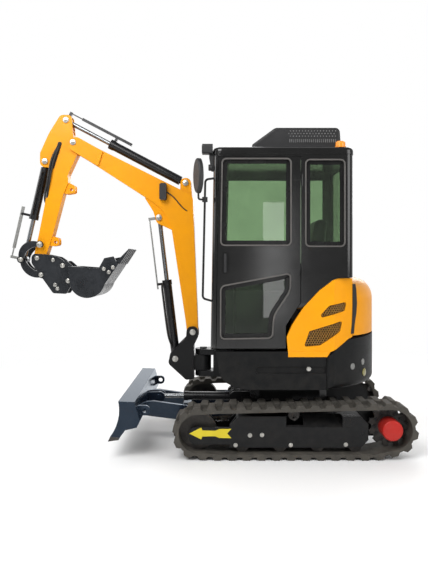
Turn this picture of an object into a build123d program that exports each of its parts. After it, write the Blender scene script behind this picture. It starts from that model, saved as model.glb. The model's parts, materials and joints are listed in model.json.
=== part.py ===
"""Mini excavator on rubber tracks, with a closed cab, a dozer blade and a swinging boom.

Millimetres. +X is the front, +Y the operator's left and +Z up. The origin is on the slew axis at
ground level. Outlines are lists of (x, z) points, drawn in the plane they are cut from.
"""
from build123d import *
import os
from math import copysign, cos, hypot, radians, sin

# Running clearances
FIT_GAP = 0.3
SIDE_GAP = 6.0
PANEL_GAP = 5.0
PIN_CLEARANCE = 0.4

# Tracks
OVERALL_WIDTH = 1550.0
TRACK_WIDTH = 300.0
IDLER_CENTRE = (775.0, 212.0)
SPROCKET_CENTRE = (-765.0, 240.0)
IDLER_TRACK_RADIUS = 200.0
SPROCKET_TRACK_RADIUS = 210.0
GROUND_RUN_HALF = 610.0
LUG_HEIGHT = 25.0
LUG_BASE = 82.0
LUG_TOP = 48.0
LUG_COUNT = 36
LUG_OVERLAP = 24.0
BELT_THICKNESS = 24.0
ROLLER_COUNT = 4
ROLLER_RADIUS = 58.0
CARRIER_RADIUS = 45.0
CARRIER_X = 0.0
FINAL_DRIVE_RADIUS = 82.0
FINAL_DRIVE_STANDOUT = 22.0

# Track frames and car body
FRAME_INSET = 42.0
FRAME_PLATE = 18.0
FRAME_TOP_Z = 340.0
FRAME_RIDGE_Z = 253.0
FRAME_SLOPE_WIDTH = 100.0
FRAME_BOTTOM_Z = 92.0
FRAME_REAR_X = -585.0
FRAME_FRONT_X = 520.0
YOKE_HEIGHT = 135.0
YOKE_REACH = 75.0
CARRIER_BRACKET_HALF = 70.0
CAR_BODY_HALF = 330.0
CAR_BODY_BOTTOM_Z = 250.0
CAR_BODY_TOP_Z = 470.0
CAR_BODY_PLATE = 20.0
SLEW_RING_RADIUS = 330.0
SLEW_RING_BORE = 250.0
DECK_BOTTOM_Z = 540.0

# Dozer blade
BLADE_PIVOT = (470.0, 300.0)
BLADE_WIDTH = 1550.0
BLADE_WALL = 12.0
BLADE_ARM_Y = 250.0
BLADE_ARM_THICKNESS = 40.0
BLADE_EAR_THICKNESS = 20.0
BLADE_PIN_RADIUS = 22.0
BLADE_RAM_FOOT = (461.0, 347.0)
BLADE_RAM_EYE = (1150.0, 350.0)
BLADE_EDGE_TIP = (1485.0, 152.0)
TRACK_OUTER_Y = OVERALL_WIDTH / 2
TRACK_INNER_Y = TRACK_OUTER_Y - TRACK_WIDTH
TRACK_MID_Y = TRACK_OUTER_Y - TRACK_WIDTH / 2
FRAME_OUTER_Y = TRACK_OUTER_Y - FRAME_INSET
FRAME_INNER_Y = TRACK_INNER_Y + FRAME_INSET
BELT_DEPTH = LUG_HEIGHT + BELT_THICKNESS
ROLLER_Z = BELT_DEPTH + ROLLER_RADIUS + FIT_GAP
WHEEL_HALF_WIDTH = 38.0
HUB_RADIUS = 42.0
AXLE_RADIUS = 20.0

# Rams: lengths along each ram are measured from its foot pin
RAM_PIN_RADIUS = 17.0
RAM_EYE_RADIUS = 38.0
RAM_EYE_HALF_WIDTH = 28.0
ROD_RADIUS = 20.0
ROD_CLEARANCE = 0.5
GLAND_LENGTH = 42.0
GLAND_GROWTH = 4.0
GUARD_HALF_WIDTH = 14.0
GUARD_TIE = 5.0
GUARD_BRACKET = 12.0
GUARD_POST = 22.0
TIE_DOWN_HOLE_RADIUS = 20.0
TIE_DOWN_Y = 640.0
TIE_DOWN_THICKNESS = 25.0
TIE_DOWN_CENTRE = (1205.0, 372.0)

# Upper structure
TAIL_RADIUS = 770.0
BODY_SIDE_Y = TAIL_RADIUS - 70.0
DECK_PLATE = 22.0
DECK_TOP_Z = DECK_BOTTOM_Z + DECK_PLATE
DECK_FRONT_X = 640.0
RIB_TOP_Z = 640.0
SKIRT_THICKNESS = 40.0
SKIRT_TOP_Z = 852.0
HOOD_WALL = 40.0
COVER_WALL = 12.0
COUNTERWEIGHT_WALL = 130.0
COUNTERWEIGHT_ROUNDING = 55.0
REAR_HOOD_DEPTH = 278.0
REAR_HOOD_X = REAR_HOOD_DEPTH - TAIL_RADIUS
REAR_HOOD_BOTTOM_Z = 968.0
REAR_HOOD_TOP_Z = 1440.0
REAR_HOOD_CROWN = 180.0
REAR_HINGE = (REAR_HOOD_X, REAR_HOOD_TOP_Z)
REAR_HINGE_Y = (-140.0, 250.0)
REAR_HINGE_KNUCKLE = 40.0
REAR_HINGE_RADIUS = 12.0

# Cab
CAB_BOTTOM_Z = SKIRT_TOP_Z + FIT_GAP
CAB_STEP_Z = 1180.0
CAB_EAVES_Z = 2440.0
CAB_ROOF_Z = 2500.0
CAB_RIGHT_Y = -250.0
CAB_REAR_X = REAR_HOOD_X + 14.0
CAB_WALL = 42.0
CAB_CORNER = 60.0
GLASS_THICKNESS = 6.0
DOOR_HINGE = (-58.0, BODY_SIDE_Y + 11.0)
SEAT_Y = (BODY_SIDE_Y + CAB_RIGHT_Y) / 2
SEAT_BASE_Z = 1310.0
SEAT_TOP_Z = 1430.0

# Swing bracket
SWING_AXIS_X = 750.0
SWING_BOSS_RADIUS = 75.0
SWING_PIN_RADIUS = 32.0
LOWER_LUG_Z = (DECK_BOTTOM_Z, 590.0)
UPPER_LUG_Z = (735.0, 785.0)
HOOD_FRONT_X = 63.0
HOOD_LENGTH = HOOD_FRONT_X - REAR_HOOD_X - 6.0
SKIRT_END = 0.583
COUNTERWEIGHT_FRONT = 0.592
COUNTERWEIGHT_EDGE = [
    (COUNTERWEIGHT_FRONT, 545), (COUNTERWEIGHT_FRONT, 803), (0.716, 862), (0.92, 938), (1.6, 962), (1.6, 545),
]
SKIRT_FRONT = [(389, 545), (480, 566), (545, 600), (585, 640), (604, 690), (615, 771), (628, SKIRT_TOP_Z)]
HOOD_LEFT_EDGE = [
    (0.02, SKIRT_TOP_Z + FIT_GAP), (0.6576, SKIRT_TOP_Z + FIT_GAP), (0.73, 872), (0.927, 946), (1.0, 960),
    (1.0, 1440), (0.763, 1440), (0.672, 1424), (0.475, 1341), (0.253, 1212), (0.084, 1069), (0.0, 969),
]
HOOD_RIGHT_EDGE = [
    (-0.978, SKIRT_TOP_Z + FIT_GAP), (0.6576, SKIRT_TOP_Z + FIT_GAP), (0.73, 872), (0.927, 946), (1.0, 960),
    (1.0, 1440), (0.661, 1440), (0.333, 1395), (-0.34, 1210), (-0.74, 1150), (-0.96, 1000),
]
VENT_EDGES = [
    [(0.439, 1112), (0.625, 1222), (0.898, 1250), (0.865, 1176), (0.672, 1148)],
    [(0.25, 890), (0.333, 1016), (0.829, 1100), (0.789, 1012), (0.49, 902)],
]
VENT_CORNER = 16.0
CAB_PROFILE = [
    (674, CAB_BOTTOM_Z), (650, CAB_EAVES_Z), (CAB_REAR_X, CAB_EAVES_Z), (CAB_REAR_X, CAB_STEP_Z),
    (60, CAB_STEP_Z), (130, CAB_BOTTOM_Z),
]
DOOR_EDGE = [(-53, 2425), (612, 2425), (632, 873), (65, 873), (65, 1060), (-53, 1245)]
DOOR_WINDOW = [(586, 2408), (598, 1700), (22, 1700), (22, 2408)]
DOOR_LOWER_WINDOW = [(598, 1382), (27, 1488), (27, 1341), (160, 1141), (173, 955), (600, 948)]
QUARTER_REAR_X = CAB_REAR_X + 68.0
QUARTER_WINDOW = [(-84, 2400), (QUARTER_REAR_X, 2400), (QUARTER_REAR_X, 1692), (-84, 1692)]
SIDE_WINDOW = [(560, 2390), (585, 1480), (CAB_REAR_X + 58, 1480), (CAB_REAR_X + 58, 2390)]
FRONT_WINDOW = (CAB_RIGHT_Y + 54, BODY_SIDE_Y - 60, 1010.0, 2385.0)
REAR_WINDOW = (CAB_RIGHT_Y + 54, BODY_SIDE_Y - 60, 1560.0, 2385.0)
WINDOW_CORNER = 40.0
HINGE_HEIGHTS = (2230.0, 1500.0)
HINGE_RADIUS = 10.0
HINGE_KNUCKLE = 45.0
DOOR_LEAF = 70.0
PILLAR_LEAF = 24.0
RAIL_RADIUS = 9.0
RAIL_Y = BODY_SIDE_Y - 40.0
RAIL_BENDS = [(560, 2262), (717, 2239), (738, 1278), (560, 1228)]
RAIL_BEND_RADIUS = 30.0
MIRROR_CENTRE = (757.0, BODY_SIDE_Y + 35.0, 2259.0)
MIRROR_TURN = 30.0
MIRROR_CLAMP = (720.5, 2077.0)
MIRROR_CLAMP_RADIUS = 22.0

# Boom, arm and bucket pins
BOOM_FOOT = (845.0, 941.0)
BOOM_RAM_FOOT = (1002.0, 701.0)
BOOM_RAM_EYE = (1153.0, 1975.0)
ARM_RAM_FOOT = (911.0, 2289.0)
ARM_PIVOT = (1924.0, 2651.0)
ARM_RAM_EYE = (1996.0, 2859.0)
BUCKET_RAM_FOOT = (2185.0, 2484.0)
ARM_TIP = (2251.0, 1608.0)
GUIDE_PIN = (2220.0, 1729.0)
LINK_PIN = (2390.0, 1595.0)
BUCKET_LINK_PIN = (2211.0, 1457.0)
COUPLER_FRONT_PIN = (2013.0, 1540.0)
COUPLER_REAR_PIN = (1964.0, 1403.0)
FOOT_PIN_RADIUS = 24.0
PIVOT_PIN_RADIUS = 24.0
TIP_PIN_RADIUS = 20.0

# Widths of the digging gear
BOOM_HALF_WIDTH = 70.0
BOOM_PLATE = 12.0
BRACKET_PLATE = 24.0
CHEEK_INNER_Y = 62.0
CHEEK_OUTER_Y = 88.0
ARM_HALF_WIDTH = 55.0
RAM_SLOT_HALF = RAM_EYE_HALF_WIDTH + SIDE_GAP
RAM_EAR_PLATE = 20.0
COUPLER_INNER_Y = 64.0
COUPLER_PLATE = 18.0
GUIDE_INNER_Y = 88.0
GUIDE_PLATE = 16.0
LINK_INNER_Y = 36.0
LINK_PLATE = 20.0
BUCKET_WIDTH = 500.0
BUCKET_WALL = 14.0
BUCKET_EAR_INNER_Y = COUPLER_INNER_Y + COUPLER_PLATE + 1.0
BUCKET_EAR_PLATE = 16.0
EAR_RADIUS = 46.0
NECK_REACH = 54.0
BOOM_EDGE = [
    (797, 893), (893, 893), (910, 1041), (1060, 2020), (1800, 2497), (1800, 2648), (845, 2171), (801, 1041),
]
BOOM_CORNERS = [46, 46, 20, 400, 0, 0, 60, 20]
NOSE_EDGE = [(1655, 2572), (1700, 2436), (1982, 2608), (1912, 2714)]
ARM_EDGE = [
    (1946, 2906), (2046, 2906), (2150, 2740), (2231, 2560), (2231, 2438), (2152, 2430), (2171, 2176),
    (2246, 1800), (2303, 1560), (2200, 1556), (2112, 1830), (2018, 2190), (1975, 2290), (1980, 2360),
    (1886, 2560), (1930, 2722),
]
ARM_FORK = [(1850, 2738), (2250, 2700), (2250, 2960), (1850, 2960)]
ARM_CORNERS = [36, 46, 150, 60, 44, 10, 60, 20, 46, 46, 20, 20, 20, 60, 60, 40]
THUMB_HOLES = [(1949.0, 2229.0), (2093.0, 1752.0)]
THUMB_HOLE_RADIUS = 15.0
THUMB_LUGS = [
    [(1915, 2200), (1915, 2265), (1990, 2300), (2030, 2190), (1985, 2190)],
    [(2060, 1722), (2062, 1790), (2140, 1810), (2170, 1730), (2120, 1715)],
]
GUIDE_BOW = 58.0
LINK_BOW = 46.0
LINK_HALF_WIDTH = 33.0
LINK_WEB_START = 150.0
COUPLER_EDGE = [
    (2300, 1650), (2161, 1640), (2060, 1618), (2010, 1585), (1945, 1400), (1950, 1345), (1985, 1284),
    (2105, 1290), (2180, 1395), (2300, 1560),
]
BUCKET_LIP = (1487.0, 1558.0)
BUCKET_HEEL = (1610.0, 1375.0)
TOOTH_TIP = (1407.0, 1696.0)
TOOTH_COUNT = 5
TOOTH_WIDTH = 58.0
TOOTH_ROOT = 36.0
TOOTH_POINT = 6.0

# Rod guards: bar's start and end from the ram's foot pin, offset from its axis, and thickness
BOOM_GUARD = (637.0, 1250.0, -90.0, 12.0)
ARM_GUARD = (600.0, 1110.0, 82.0, 24.0)
BUCKET_GUARD = (441.0, 830.0, 116.0, 22.0)

# Barrel lengths and the rods' starts, from each ram's foot pin
BOOM_BARREL = (712.0, 40.0)
BOOM_ROD_INSIDE = 400.0
ARM_BARREL = (780.0, 42.0)
ARM_ROD_INSIDE = 460.0
BUCKET_BARREL = (538.0, 39.0)
BUCKET_ROD_INSIDE = 400.0
BLADE_BARREL = (470.0, 38.0)
BLADE_ROD_INSIDE = 250.0


def face_on(points, y, radius=0.0):
    """Flat face on a closed outline of (x, z) points at one y, with its corners rounded."""
    spots = [(x, y, z) for x, z in points]
    if radius:
        return Face(Wire(FilletPolyline(*spots, radius=radius, close=True).edges()))
    return Face(Wire.make_polygon(spots, close=True))


def slab(points, y0, y1, radius=0.0):
    """Plate between y0 and y1 on an outline of (x, z) points."""
    return extrude(face_on(points, y0, radius), amount=y1 - y0, dir=(0, 1, 0))


def pair_of_slabs(points, y0, y1, radius=0.0):
    """The same plate on both sides of the centre plane."""
    return [slab(points, y0, y1, radius), slab(points, -y1, -y0, radius)]


def lengthwise(points, x0, x1):
    """Prism of a (y, z) outline that runs along X."""
    plane = Plane((x0, 0, 0), x_dir=(0, 1, 0), z_dir=(1, 0, 0))
    return extrude(plane * Polygon(*points, align=None), amount=x1 - x0)


def block(x0, x1, y0, y1, z0, z1):
    """Upright box between two corners."""
    return Solid.make_box(x1 - x0, y1 - y0, z1 - z0, Plane((x0, y0, z0)))


def across(spot, radius, y0, y1):
    """Round bar along Y through the point (x, z)."""
    return Solid.make_cylinder(radius, y1 - y0, Plane((spot[0], y0, spot[1]), z_dir=(0, 1, 0)))


def upright(x, y, radius, z0, z1):
    """Round bar along Z."""
    return Solid.make_cylinder(radius, z1 - z0, Plane((x, y, z0)))


def between(start, end, radius, y=0.0):
    """Round bar from one (x, z) point to another, at one y."""
    run = Vector(end[0] - start[0], 0, end[1] - start[1])
    return Solid.make_cylinder(radius, run.length, Plane((start[0], y, start[1]), z_dir=run))


def along(start, end, distance):
    """Point at a distance from start on the way to end."""
    length = hypot(end[0] - start[0], end[1] - start[1])
    share = distance / length
    return (start[0] + (end[0] - start[0]) * share, start[1] + (end[1] - start[1]) * share)


def distance_of(start, end):
    """Distance between two (x, z) points."""
    return hypot(end[0] - start[0], end[1] - start[1])


def beside(start, end, distance, offset):
    """Point at a distance along start to end, moved sideways to the left of that direction."""
    length = distance_of(start, end)
    along_x = (end[0] - start[0]) / length
    along_z = (end[1] - start[1]) / length
    return (
        start[0] + along_x * distance - along_z * offset,
        start[1] + along_z * distance + along_x * offset,
    )


def joined(pieces):
    """All the pieces fused into one shape."""
    whole = pieces[0]
    return whole.fuse(*pieces[1:])


def both_sides(shape):
    """The shape and its mirror image across the centre plane, as one group."""
    return Compound(children=[*solids_of(shape), *solids_of(mirror(shape, about=Plane.XZ))])


def solids_of(shape):
    """The solids of a shape as a list."""
    return list(shape.solids())


def save(name, shape):
    """Write one named piece as a STEP file."""
    export_step(shape, f"parts/{name}.step")


def loop_face(inset, y):
    """Face inside the track's run, set in from the lug tips: idler, sprocket and the ground run."""
    ground_radius = SPROCKET_TRACK_RADIUS
    circles = [
        (IDLER_CENTRE, IDLER_TRACK_RADIUS - inset),
        (SPROCKET_CENTRE, SPROCKET_TRACK_RADIUS - inset),
        ((GROUND_RUN_HALF, ground_radius), ground_radius - inset),
        ((-GROUND_RUN_HALF, ground_radius), ground_radius - inset),
    ]
    flat = [Pos(x, z) * Edge.make_circle(radius) for (x, z), radius in circles]
    hull = make_hull(flat).face()
    stand_up = Plane((0, y, 0), x_dir=(1, 0, 0), z_dir=(0, -1, 0))
    return stand_up * hull


def lug(spot, direction, y0, y1):
    """One tread lug: a tapered bar across the belt, standing on its outer face."""
    outward = Vector(direction.Z, 0, -direction.X)
    foot = spot - outward * (BELT_THICKNESS / 2)
    tip = spot + outward * LUG_HEIGHT
    corners = [
        foot - direction * (LUG_BASE / 2),
        foot + direction * (LUG_BASE / 2),
        spot + direction * (LUG_BASE / 2),
        tip + direction * (LUG_TOP / 2),
        tip - direction * (LUG_TOP / 2),
        spot - direction * (LUG_BASE / 2),
    ]
    return slab([(corner.X, corner.Z) for corner in corners], y0, y1)


def make_track():
    """Left rubber track: a belt with two staggered rows of lugs round its outside."""
    outer = loop_face(LUG_HEIGHT, TRACK_INNER_Y)
    inner = loop_face(BELT_DEPTH, TRACK_INNER_Y)
    belt = extrude(outer, amount=TRACK_WIDTH, dir=(0, 1, 0))
    belt -= extrude(inner, amount=TRACK_WIDTH, dir=(0, 1, 0))
    run = outer.outer_wire()
    pitch = run.length / LUG_COUNT
    rows = [
        (0.0, TRACK_INNER_Y, TRACK_MID_Y + LUG_OVERLAP),
        (0.5, TRACK_MID_Y - LUG_OVERLAP, TRACK_OUTER_Y),
    ]
    lugs = []
    for shift, y0, y1 in rows:
        for index in range(LUG_COUNT):
            reach = (index + shift) * pitch
            spot = run.position_at(reach, position_mode=PositionMode.LENGTH)
            spot = Vector(spot.X, 0, spot.Z)
            direction = run.tangent_at(reach, position_mode=PositionMode.LENGTH)
            outward = Vector(direction.Z, 0, -direction.X)
            middle = Vector(0, 0, SPROCKET_TRACK_RADIUS)
            if outward.dot(spot - middle) < 0:
                direction = direction * -1
            lugs.append(lug(spot, direction, y0, y1))
    return joined([belt, *lugs])


def make_idler():
    """Left front idler wheel with its hub and axle ends between the yoke's plates."""
    radius = IDLER_TRACK_RADIUS - BELT_DEPTH - FIT_GAP
    wheel = across(IDLER_CENTRE, radius, TRACK_MID_Y - WHEEL_HALF_WIDTH, TRACK_MID_Y + WHEEL_HALF_WIDTH)
    hub = across(IDLER_CENTRE, HUB_RADIUS, FRAME_INNER_Y + FRAME_PLATE, FRAME_OUTER_Y - FRAME_PLATE)
    return joined([wheel, hub])


def make_sprocket():
    """Left drive sprocket: a toothed ring on the final drive's flange."""
    tip_radius = SPROCKET_TRACK_RADIUS - BELT_DEPTH - FIT_GAP
    tooth_count = 11
    tooth_depth = 26.0
    half_width = 20.0
    ring = across(SPROCKET_CENTRE, tip_radius, TRACK_MID_Y - half_width, TRACK_MID_Y + half_width)
    for index in range(tooth_count):
        turn = radians(360.0 * index / tooth_count)
        notch = (
            SPROCKET_CENTRE[0] + tip_radius * cos(turn),
            SPROCKET_CENTRE[1] + tip_radius * sin(turn),
        )
        ring -= across(notch, tooth_depth, TRACK_MID_Y - half_width, TRACK_MID_Y + half_width)
    hub = across(SPROCKET_CENTRE, FINAL_DRIVE_RADIUS, TRACK_MID_Y - half_width, TRACK_MID_Y + half_width)
    return ring - hub


def make_final_drive():
    """Left travel gearbox: motor case inside the sprocket and a domed cover outside it."""
    cover_y = TRACK_OUTER_Y + FINAL_DRIVE_STANDOUT
    dome = 14.0
    case = across(SPROCKET_CENTRE, FINAL_DRIVE_RADIUS, FRAME_INNER_Y + FRAME_PLATE, cover_y)
    rim = case.faces().sort_by(Axis.Y)[-1].edges()
    return fillet(rim, dome)


def make_rollers():
    """Left bottom rollers and carrier roller, each turning between the frame's side plates."""
    inner = FRAME_INNER_Y + FRAME_PLATE
    outer = FRAME_OUTER_Y - FRAME_PLATE
    flange = 16.0
    span = FRAME_FRONT_X - FRAME_REAR_X - 2 * HUB_RADIUS - 2 * ROLLER_RADIUS
    first = FRAME_REAR_X + HUB_RADIUS + ROLLER_RADIUS
    rollers = []
    for index in range(ROLLER_COUNT):
        centre = (first + span * index / (ROLLER_COUNT - 1), ROLLER_Z)
        wheel = across(centre, ROLLER_RADIUS, inner + flange, outer - flange)
        rollers.append(joined([wheel, across(centre, AXLE_RADIUS, inner, outer)]))
    return rollers


def top_run_z(x):
    """Height of the belt's inner face above x on the upper run."""
    idler_top = IDLER_CENTRE[1] + IDLER_TRACK_RADIUS - BELT_DEPTH
    sprocket_top = SPROCKET_CENTRE[1] + SPROCKET_TRACK_RADIUS - BELT_DEPTH
    share = (x - SPROCKET_CENTRE[0]) / (IDLER_CENTRE[0] - SPROCKET_CENTRE[0])
    return sprocket_top + (idler_top - sprocket_top) * share


def make_carrier():
    """Left carrier roller in the slot on top of the track frame, under the belt's upper run."""
    centre = (CARRIER_X, top_run_z(CARRIER_X) - CARRIER_RADIUS - 2 * FIT_GAP)
    wheel = across(centre, CARRIER_RADIUS, TRACK_MID_Y - WHEEL_HALF_WIDTH, TRACK_MID_Y + WHEEL_HALF_WIDTH)
    axle_drop = 24.0
    axle_spot = (centre[0], centre[1] - axle_drop)
    axle = across(axle_spot, AXLE_RADIUS / 2, FRAME_INNER_Y + FRAME_PLATE, FRAME_OUTER_Y - FRAME_PLATE)
    return joined([wheel, axle])


def make_track_frame():
    """Left track frame: a channel over the rollers, sloped above its ridge, with the idler's yoke."""
    inner = FRAME_INNER_Y + FRAME_PLATE
    outer = FRAME_OUTER_Y - FRAME_PLATE
    shoulder = 60.0
    top_cut = 70.0
    profile = [
        (FRAME_REAR_X, FRAME_BOTTOM_Z + shoulder),
        (FRAME_REAR_X + shoulder, FRAME_BOTTOM_Z),
        (FRAME_FRONT_X, FRAME_BOTTOM_Z),
        (FRAME_FRONT_X, FRAME_TOP_Z - top_cut),
        (FRAME_FRONT_X - top_cut, FRAME_TOP_Z),
        (FRAME_REAR_X + shoulder, FRAME_TOP_Z),
        (FRAME_REAR_X, FRAME_TOP_Z - shoulder),
    ]
    frame = slab(profile, FRAME_INNER_Y, FRAME_OUTER_Y)
    tunnel_top = FRAME_TOP_Z - FRAME_PLATE
    frame -= block(FRAME_REAR_X - 1, FRAME_FRONT_X + 1, inner, outer, 0, tunnel_top)
    slot = CARRIER_RADIUS + SIDE_GAP
    frame -= block(CARRIER_X - slot, CARRIER_X + slot, inner, outer, tunnel_top - 1, FRAME_TOP_Z + 1)
    slope_top_y = FRAME_OUTER_Y - FRAME_SLOPE_WIDTH
    above = [(FRAME_OUTER_Y, FRAME_RIDGE_Z), (slope_top_y, FRAME_TOP_Z), (FRAME_OUTER_Y, FRAME_TOP_Z)]
    plate_down = FRAME_PLATE * 1.3
    below = [(slope_top_y, FRAME_TOP_Z - plate_down), (FRAME_OUTER_Y, FRAME_RIDGE_Z - plate_down)]
    sloped = [*above[:2], *below]
    for x0, x1 in ((FRAME_REAR_X, -CARRIER_BRACKET_HALF), (CARRIER_BRACKET_HALF, FRAME_FRONT_X)):
        frame -= lengthwise(above, x0, x1)
        frame = joined([frame, lengthwise(sloped, x0, x1) & slab(profile, inner, FRAME_OUTER_Y)])
    neck = 30.0
    yoke_bottom = FRAME_RIDGE_Z - YOKE_HEIGHT
    yoke_end = IDLER_CENTRE[0] + YOKE_REACH
    yoke = [
        (FRAME_FRONT_X - neck, yoke_bottom), (yoke_end, yoke_bottom), (yoke_end, FRAME_RIDGE_Z),
        (FRAME_FRONT_X - neck, FRAME_RIDGE_Z),
    ]
    rounding = YOKE_HEIGHT / 2 - 8.0
    plates = [
        slab(yoke, FRAME_INNER_Y, inner, [0.01, rounding, rounding, 0.01]),
        slab(yoke, outer, FRAME_OUTER_Y, [0.01, rounding, rounding, 0.01]),
    ]
    return joined([frame, *plates])


def make_motor_plate():
    """Left rear plate that carries the travel motor on the end of the track frame."""
    margin = 26.0
    reach = FINAL_DRIVE_RADIUS + margin
    overlap = 60.0
    outline = [
        (FRAME_REAR_X + overlap, SPROCKET_CENTRE[1] - reach),
        (FRAME_REAR_X + overlap, SPROCKET_CENTRE[1] + reach),
        (SPROCKET_CENTRE[0] - reach, SPROCKET_CENTRE[1] + reach),
        (SPROCKET_CENTRE[0] - reach, SPROCKET_CENTRE[1] - reach),
    ]
    rounding = reach - 4.0
    plate = slab(outline, FRAME_INNER_Y, FRAME_INNER_Y + FRAME_PLATE, [0, 0, rounding, rounding])
    return plate


def make_undercarriage_frame():
    """Car body, its four legs and both track frames, welded into one, with the blade's ears."""
    centre = block(
        -CAR_BODY_HALF, CAR_BODY_HALF, -CAR_BODY_HALF, CAR_BODY_HALF, CAR_BODY_BOTTOM_Z, CAR_BODY_TOP_Z
    )
    centre = chamfer(centre.edges().filter_by(Axis.Z), 70.0)
    room = CAR_BODY_HALF - CAR_BODY_PLATE - 60.0
    centre -= block(-room, room, -room, room, CAR_BODY_BOTTOM_Z - 1, CAR_BODY_TOP_Z - CAR_BODY_PLATE)
    leg_inner_x = 170.0
    leg_outer_x = 410.0
    leg_drop = 40.0
    leg_top_z = FRAME_TOP_Z + 60.0
    leg_end_y = FRAME_INNER_Y + FRAME_PLATE / 2
    leg_root_y = CAR_BODY_HALF - 70.0
    corners = [
        (leg_root_y, leg_top_z),
        (leg_end_y, FRAME_TOP_Z - 10.0),
        (leg_end_y, CAR_BODY_BOTTOM_Z - leg_drop),
        (leg_root_y, CAR_BODY_BOTTOM_Z),
    ]
    legs = []
    for side in (1, -1):
        for end in (1, -1):
            wire = Wire.make_polygon([(end * leg_inner_x, side * y, z) for y, z in corners], close=True)
            legs.append(extrude(Face(wire), amount=leg_outer_x - leg_inner_x, dir=(end, 0, 0)))
    left = joined([make_track_frame(), make_motor_plate()])
    frame = joined([centre, *legs, left, mirror(left, about=Plane.XZ)])
    return joined([frame, *blade_ears()]) - ram_foot_room()


def blade_ears():
    """Ears on the car body for the blade's two arms and for its ram, with their pins."""
    ear_radius = 52.0
    root_x = CAR_BODY_HALF - 30.0
    ear = [
        (root_x, BLADE_PIVOT[1] - ear_radius),
        (BLADE_PIVOT[0] + ear_radius, BLADE_PIVOT[1] - ear_radius),
        (BLADE_PIVOT[0] + ear_radius, BLADE_PIVOT[1] + ear_radius),
        (root_x, BLADE_PIVOT[1] + ear_radius),
    ]
    rounding = [0, ear_radius - 3.0, ear_radius - 3.0, 0]
    inner_y = BLADE_ARM_Y - BLADE_ARM_THICKNESS / 2 - SIDE_GAP
    outer_y = BLADE_ARM_Y + BLADE_ARM_THICKNESS / 2 + SIDE_GAP
    plates = [
        *pair_of_slabs(ear, inner_y - BLADE_EAR_THICKNESS, inner_y, rounding),
        *pair_of_slabs(ear, outer_y, outer_y + BLADE_EAR_THICKNESS, rounding),
    ]
    pins = []
    for side in (1, -1):
        ends = sorted((side * (inner_y - BLADE_EAR_THICKNESS), side * (outer_y + BLADE_EAR_THICKNESS)))
        pins.append(across(BLADE_PIVOT, BLADE_PIN_RADIUS, *ends))
    half = RAM_EYE_HALF_WIDTH + SIDE_GAP
    ram_ear = [
        (root_x, BLADE_RAM_FOOT[1] - ear_radius),
        (BLADE_RAM_FOOT[0] + ear_radius, BLADE_RAM_FOOT[1] - ear_radius),
        (BLADE_RAM_FOOT[0] + ear_radius, BLADE_RAM_FOOT[1] + ear_radius),
        (root_x, BLADE_RAM_FOOT[1] + ear_radius),
    ]
    plates += pair_of_slabs(ram_ear, half, half + BLADE_EAR_THICKNESS, rounding)
    pin_end = half + BLADE_EAR_THICKNESS
    pins.append(across(BLADE_RAM_FOOT, RAM_PIN_RADIUS, -pin_end, pin_end))
    return [*plates, *pins]


def ram_foot_room():
    """Pocket in the car body's front that the blade ram's foot eye swings in."""
    half = RAM_EYE_HALF_WIDTH + SIDE_GAP
    reach = RAM_EYE_RADIUS + 2 * SIDE_GAP
    pocket = across(BLADE_RAM_FOOT, reach, -half, half)
    return pocket - across(BLADE_RAM_FOOT, RAM_PIN_RADIUS, -half, half)


def make_slew_ring():
    """Slewing ring bolted to the car body's top."""
    top = DECK_BOTTOM_Z - FIT_GAP
    ring = upright(0, 0, SLEW_RING_RADIUS, CAR_BODY_TOP_Z, top)
    return ring - upright(0, 0, SLEW_RING_BORE, CAR_BODY_TOP_Z, top)


def ram_strip(foot, eye, start, end, inner, outer, half_width):
    """Flat bar beside a ram, from start to end along it and between two offsets from its axis."""
    corners = ((start, inner), (end, inner), (end, outer), (start, outer))
    outline = [beside(foot, eye, distance, offset) for distance, offset in corners]
    return slab(outline, -half_width, half_width)


def guard_strip(foot, eye, guard, growth=0.0):
    """The bar of a rod guard, which slides along the ram with its rod."""
    start, end, offset, thickness = guard
    half = thickness / 2 + growth
    return ram_strip(foot, eye, start - growth, end, offset - half, offset + half, GUARD_HALF_WIDTH + growth)


def ram_guard(foot, eye, guard):
    """Rod guard: a bar beside the rod, a thinner tie and a bracket that clasps the rod's eye."""
    reach = distance_of(foot, eye)
    end, offset = guard[1:3]
    tie = ram_strip(foot, eye, end - 1, reach, offset - GUARD_TIE, offset + GUARD_TIE, GUARD_TIE)
    head = offset + copysign(GUARD_TIE * 2, offset)
    bracket = ram_strip(foot, eye, reach - GUARD_BRACKET, reach + GUARD_BRACKET, 0, head, GUARD_HALF_WIDTH)
    bracket -= across(eye, RAM_EYE_RADIUS + FIT_GAP, -RAM_EYE_HALF_WIDTH, RAM_EYE_HALF_WIDTH)
    bracket -= between(foot, eye, ROD_RADIUS + FIT_GAP)
    clasp = max(solids_of(bracket), key=lambda solid: solid.volume)
    return joined([guard_strip(foot, eye, guard), tie, clasp])


def guard_post(foot, eye, length, radius, guard):
    """Forked post on a barrel's gland that carries the guard's bar."""
    offset = guard[2]
    post = ram_strip(foot, eye, length - GLAND_LENGTH, length - GLAND_LENGTH + GUARD_POST,
                     copysign(radius, offset), offset, GUARD_HALF_WIDTH + GUARD_TIE)
    return post - guard_strip(foot, eye, guard, 2 * FIT_GAP)


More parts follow.
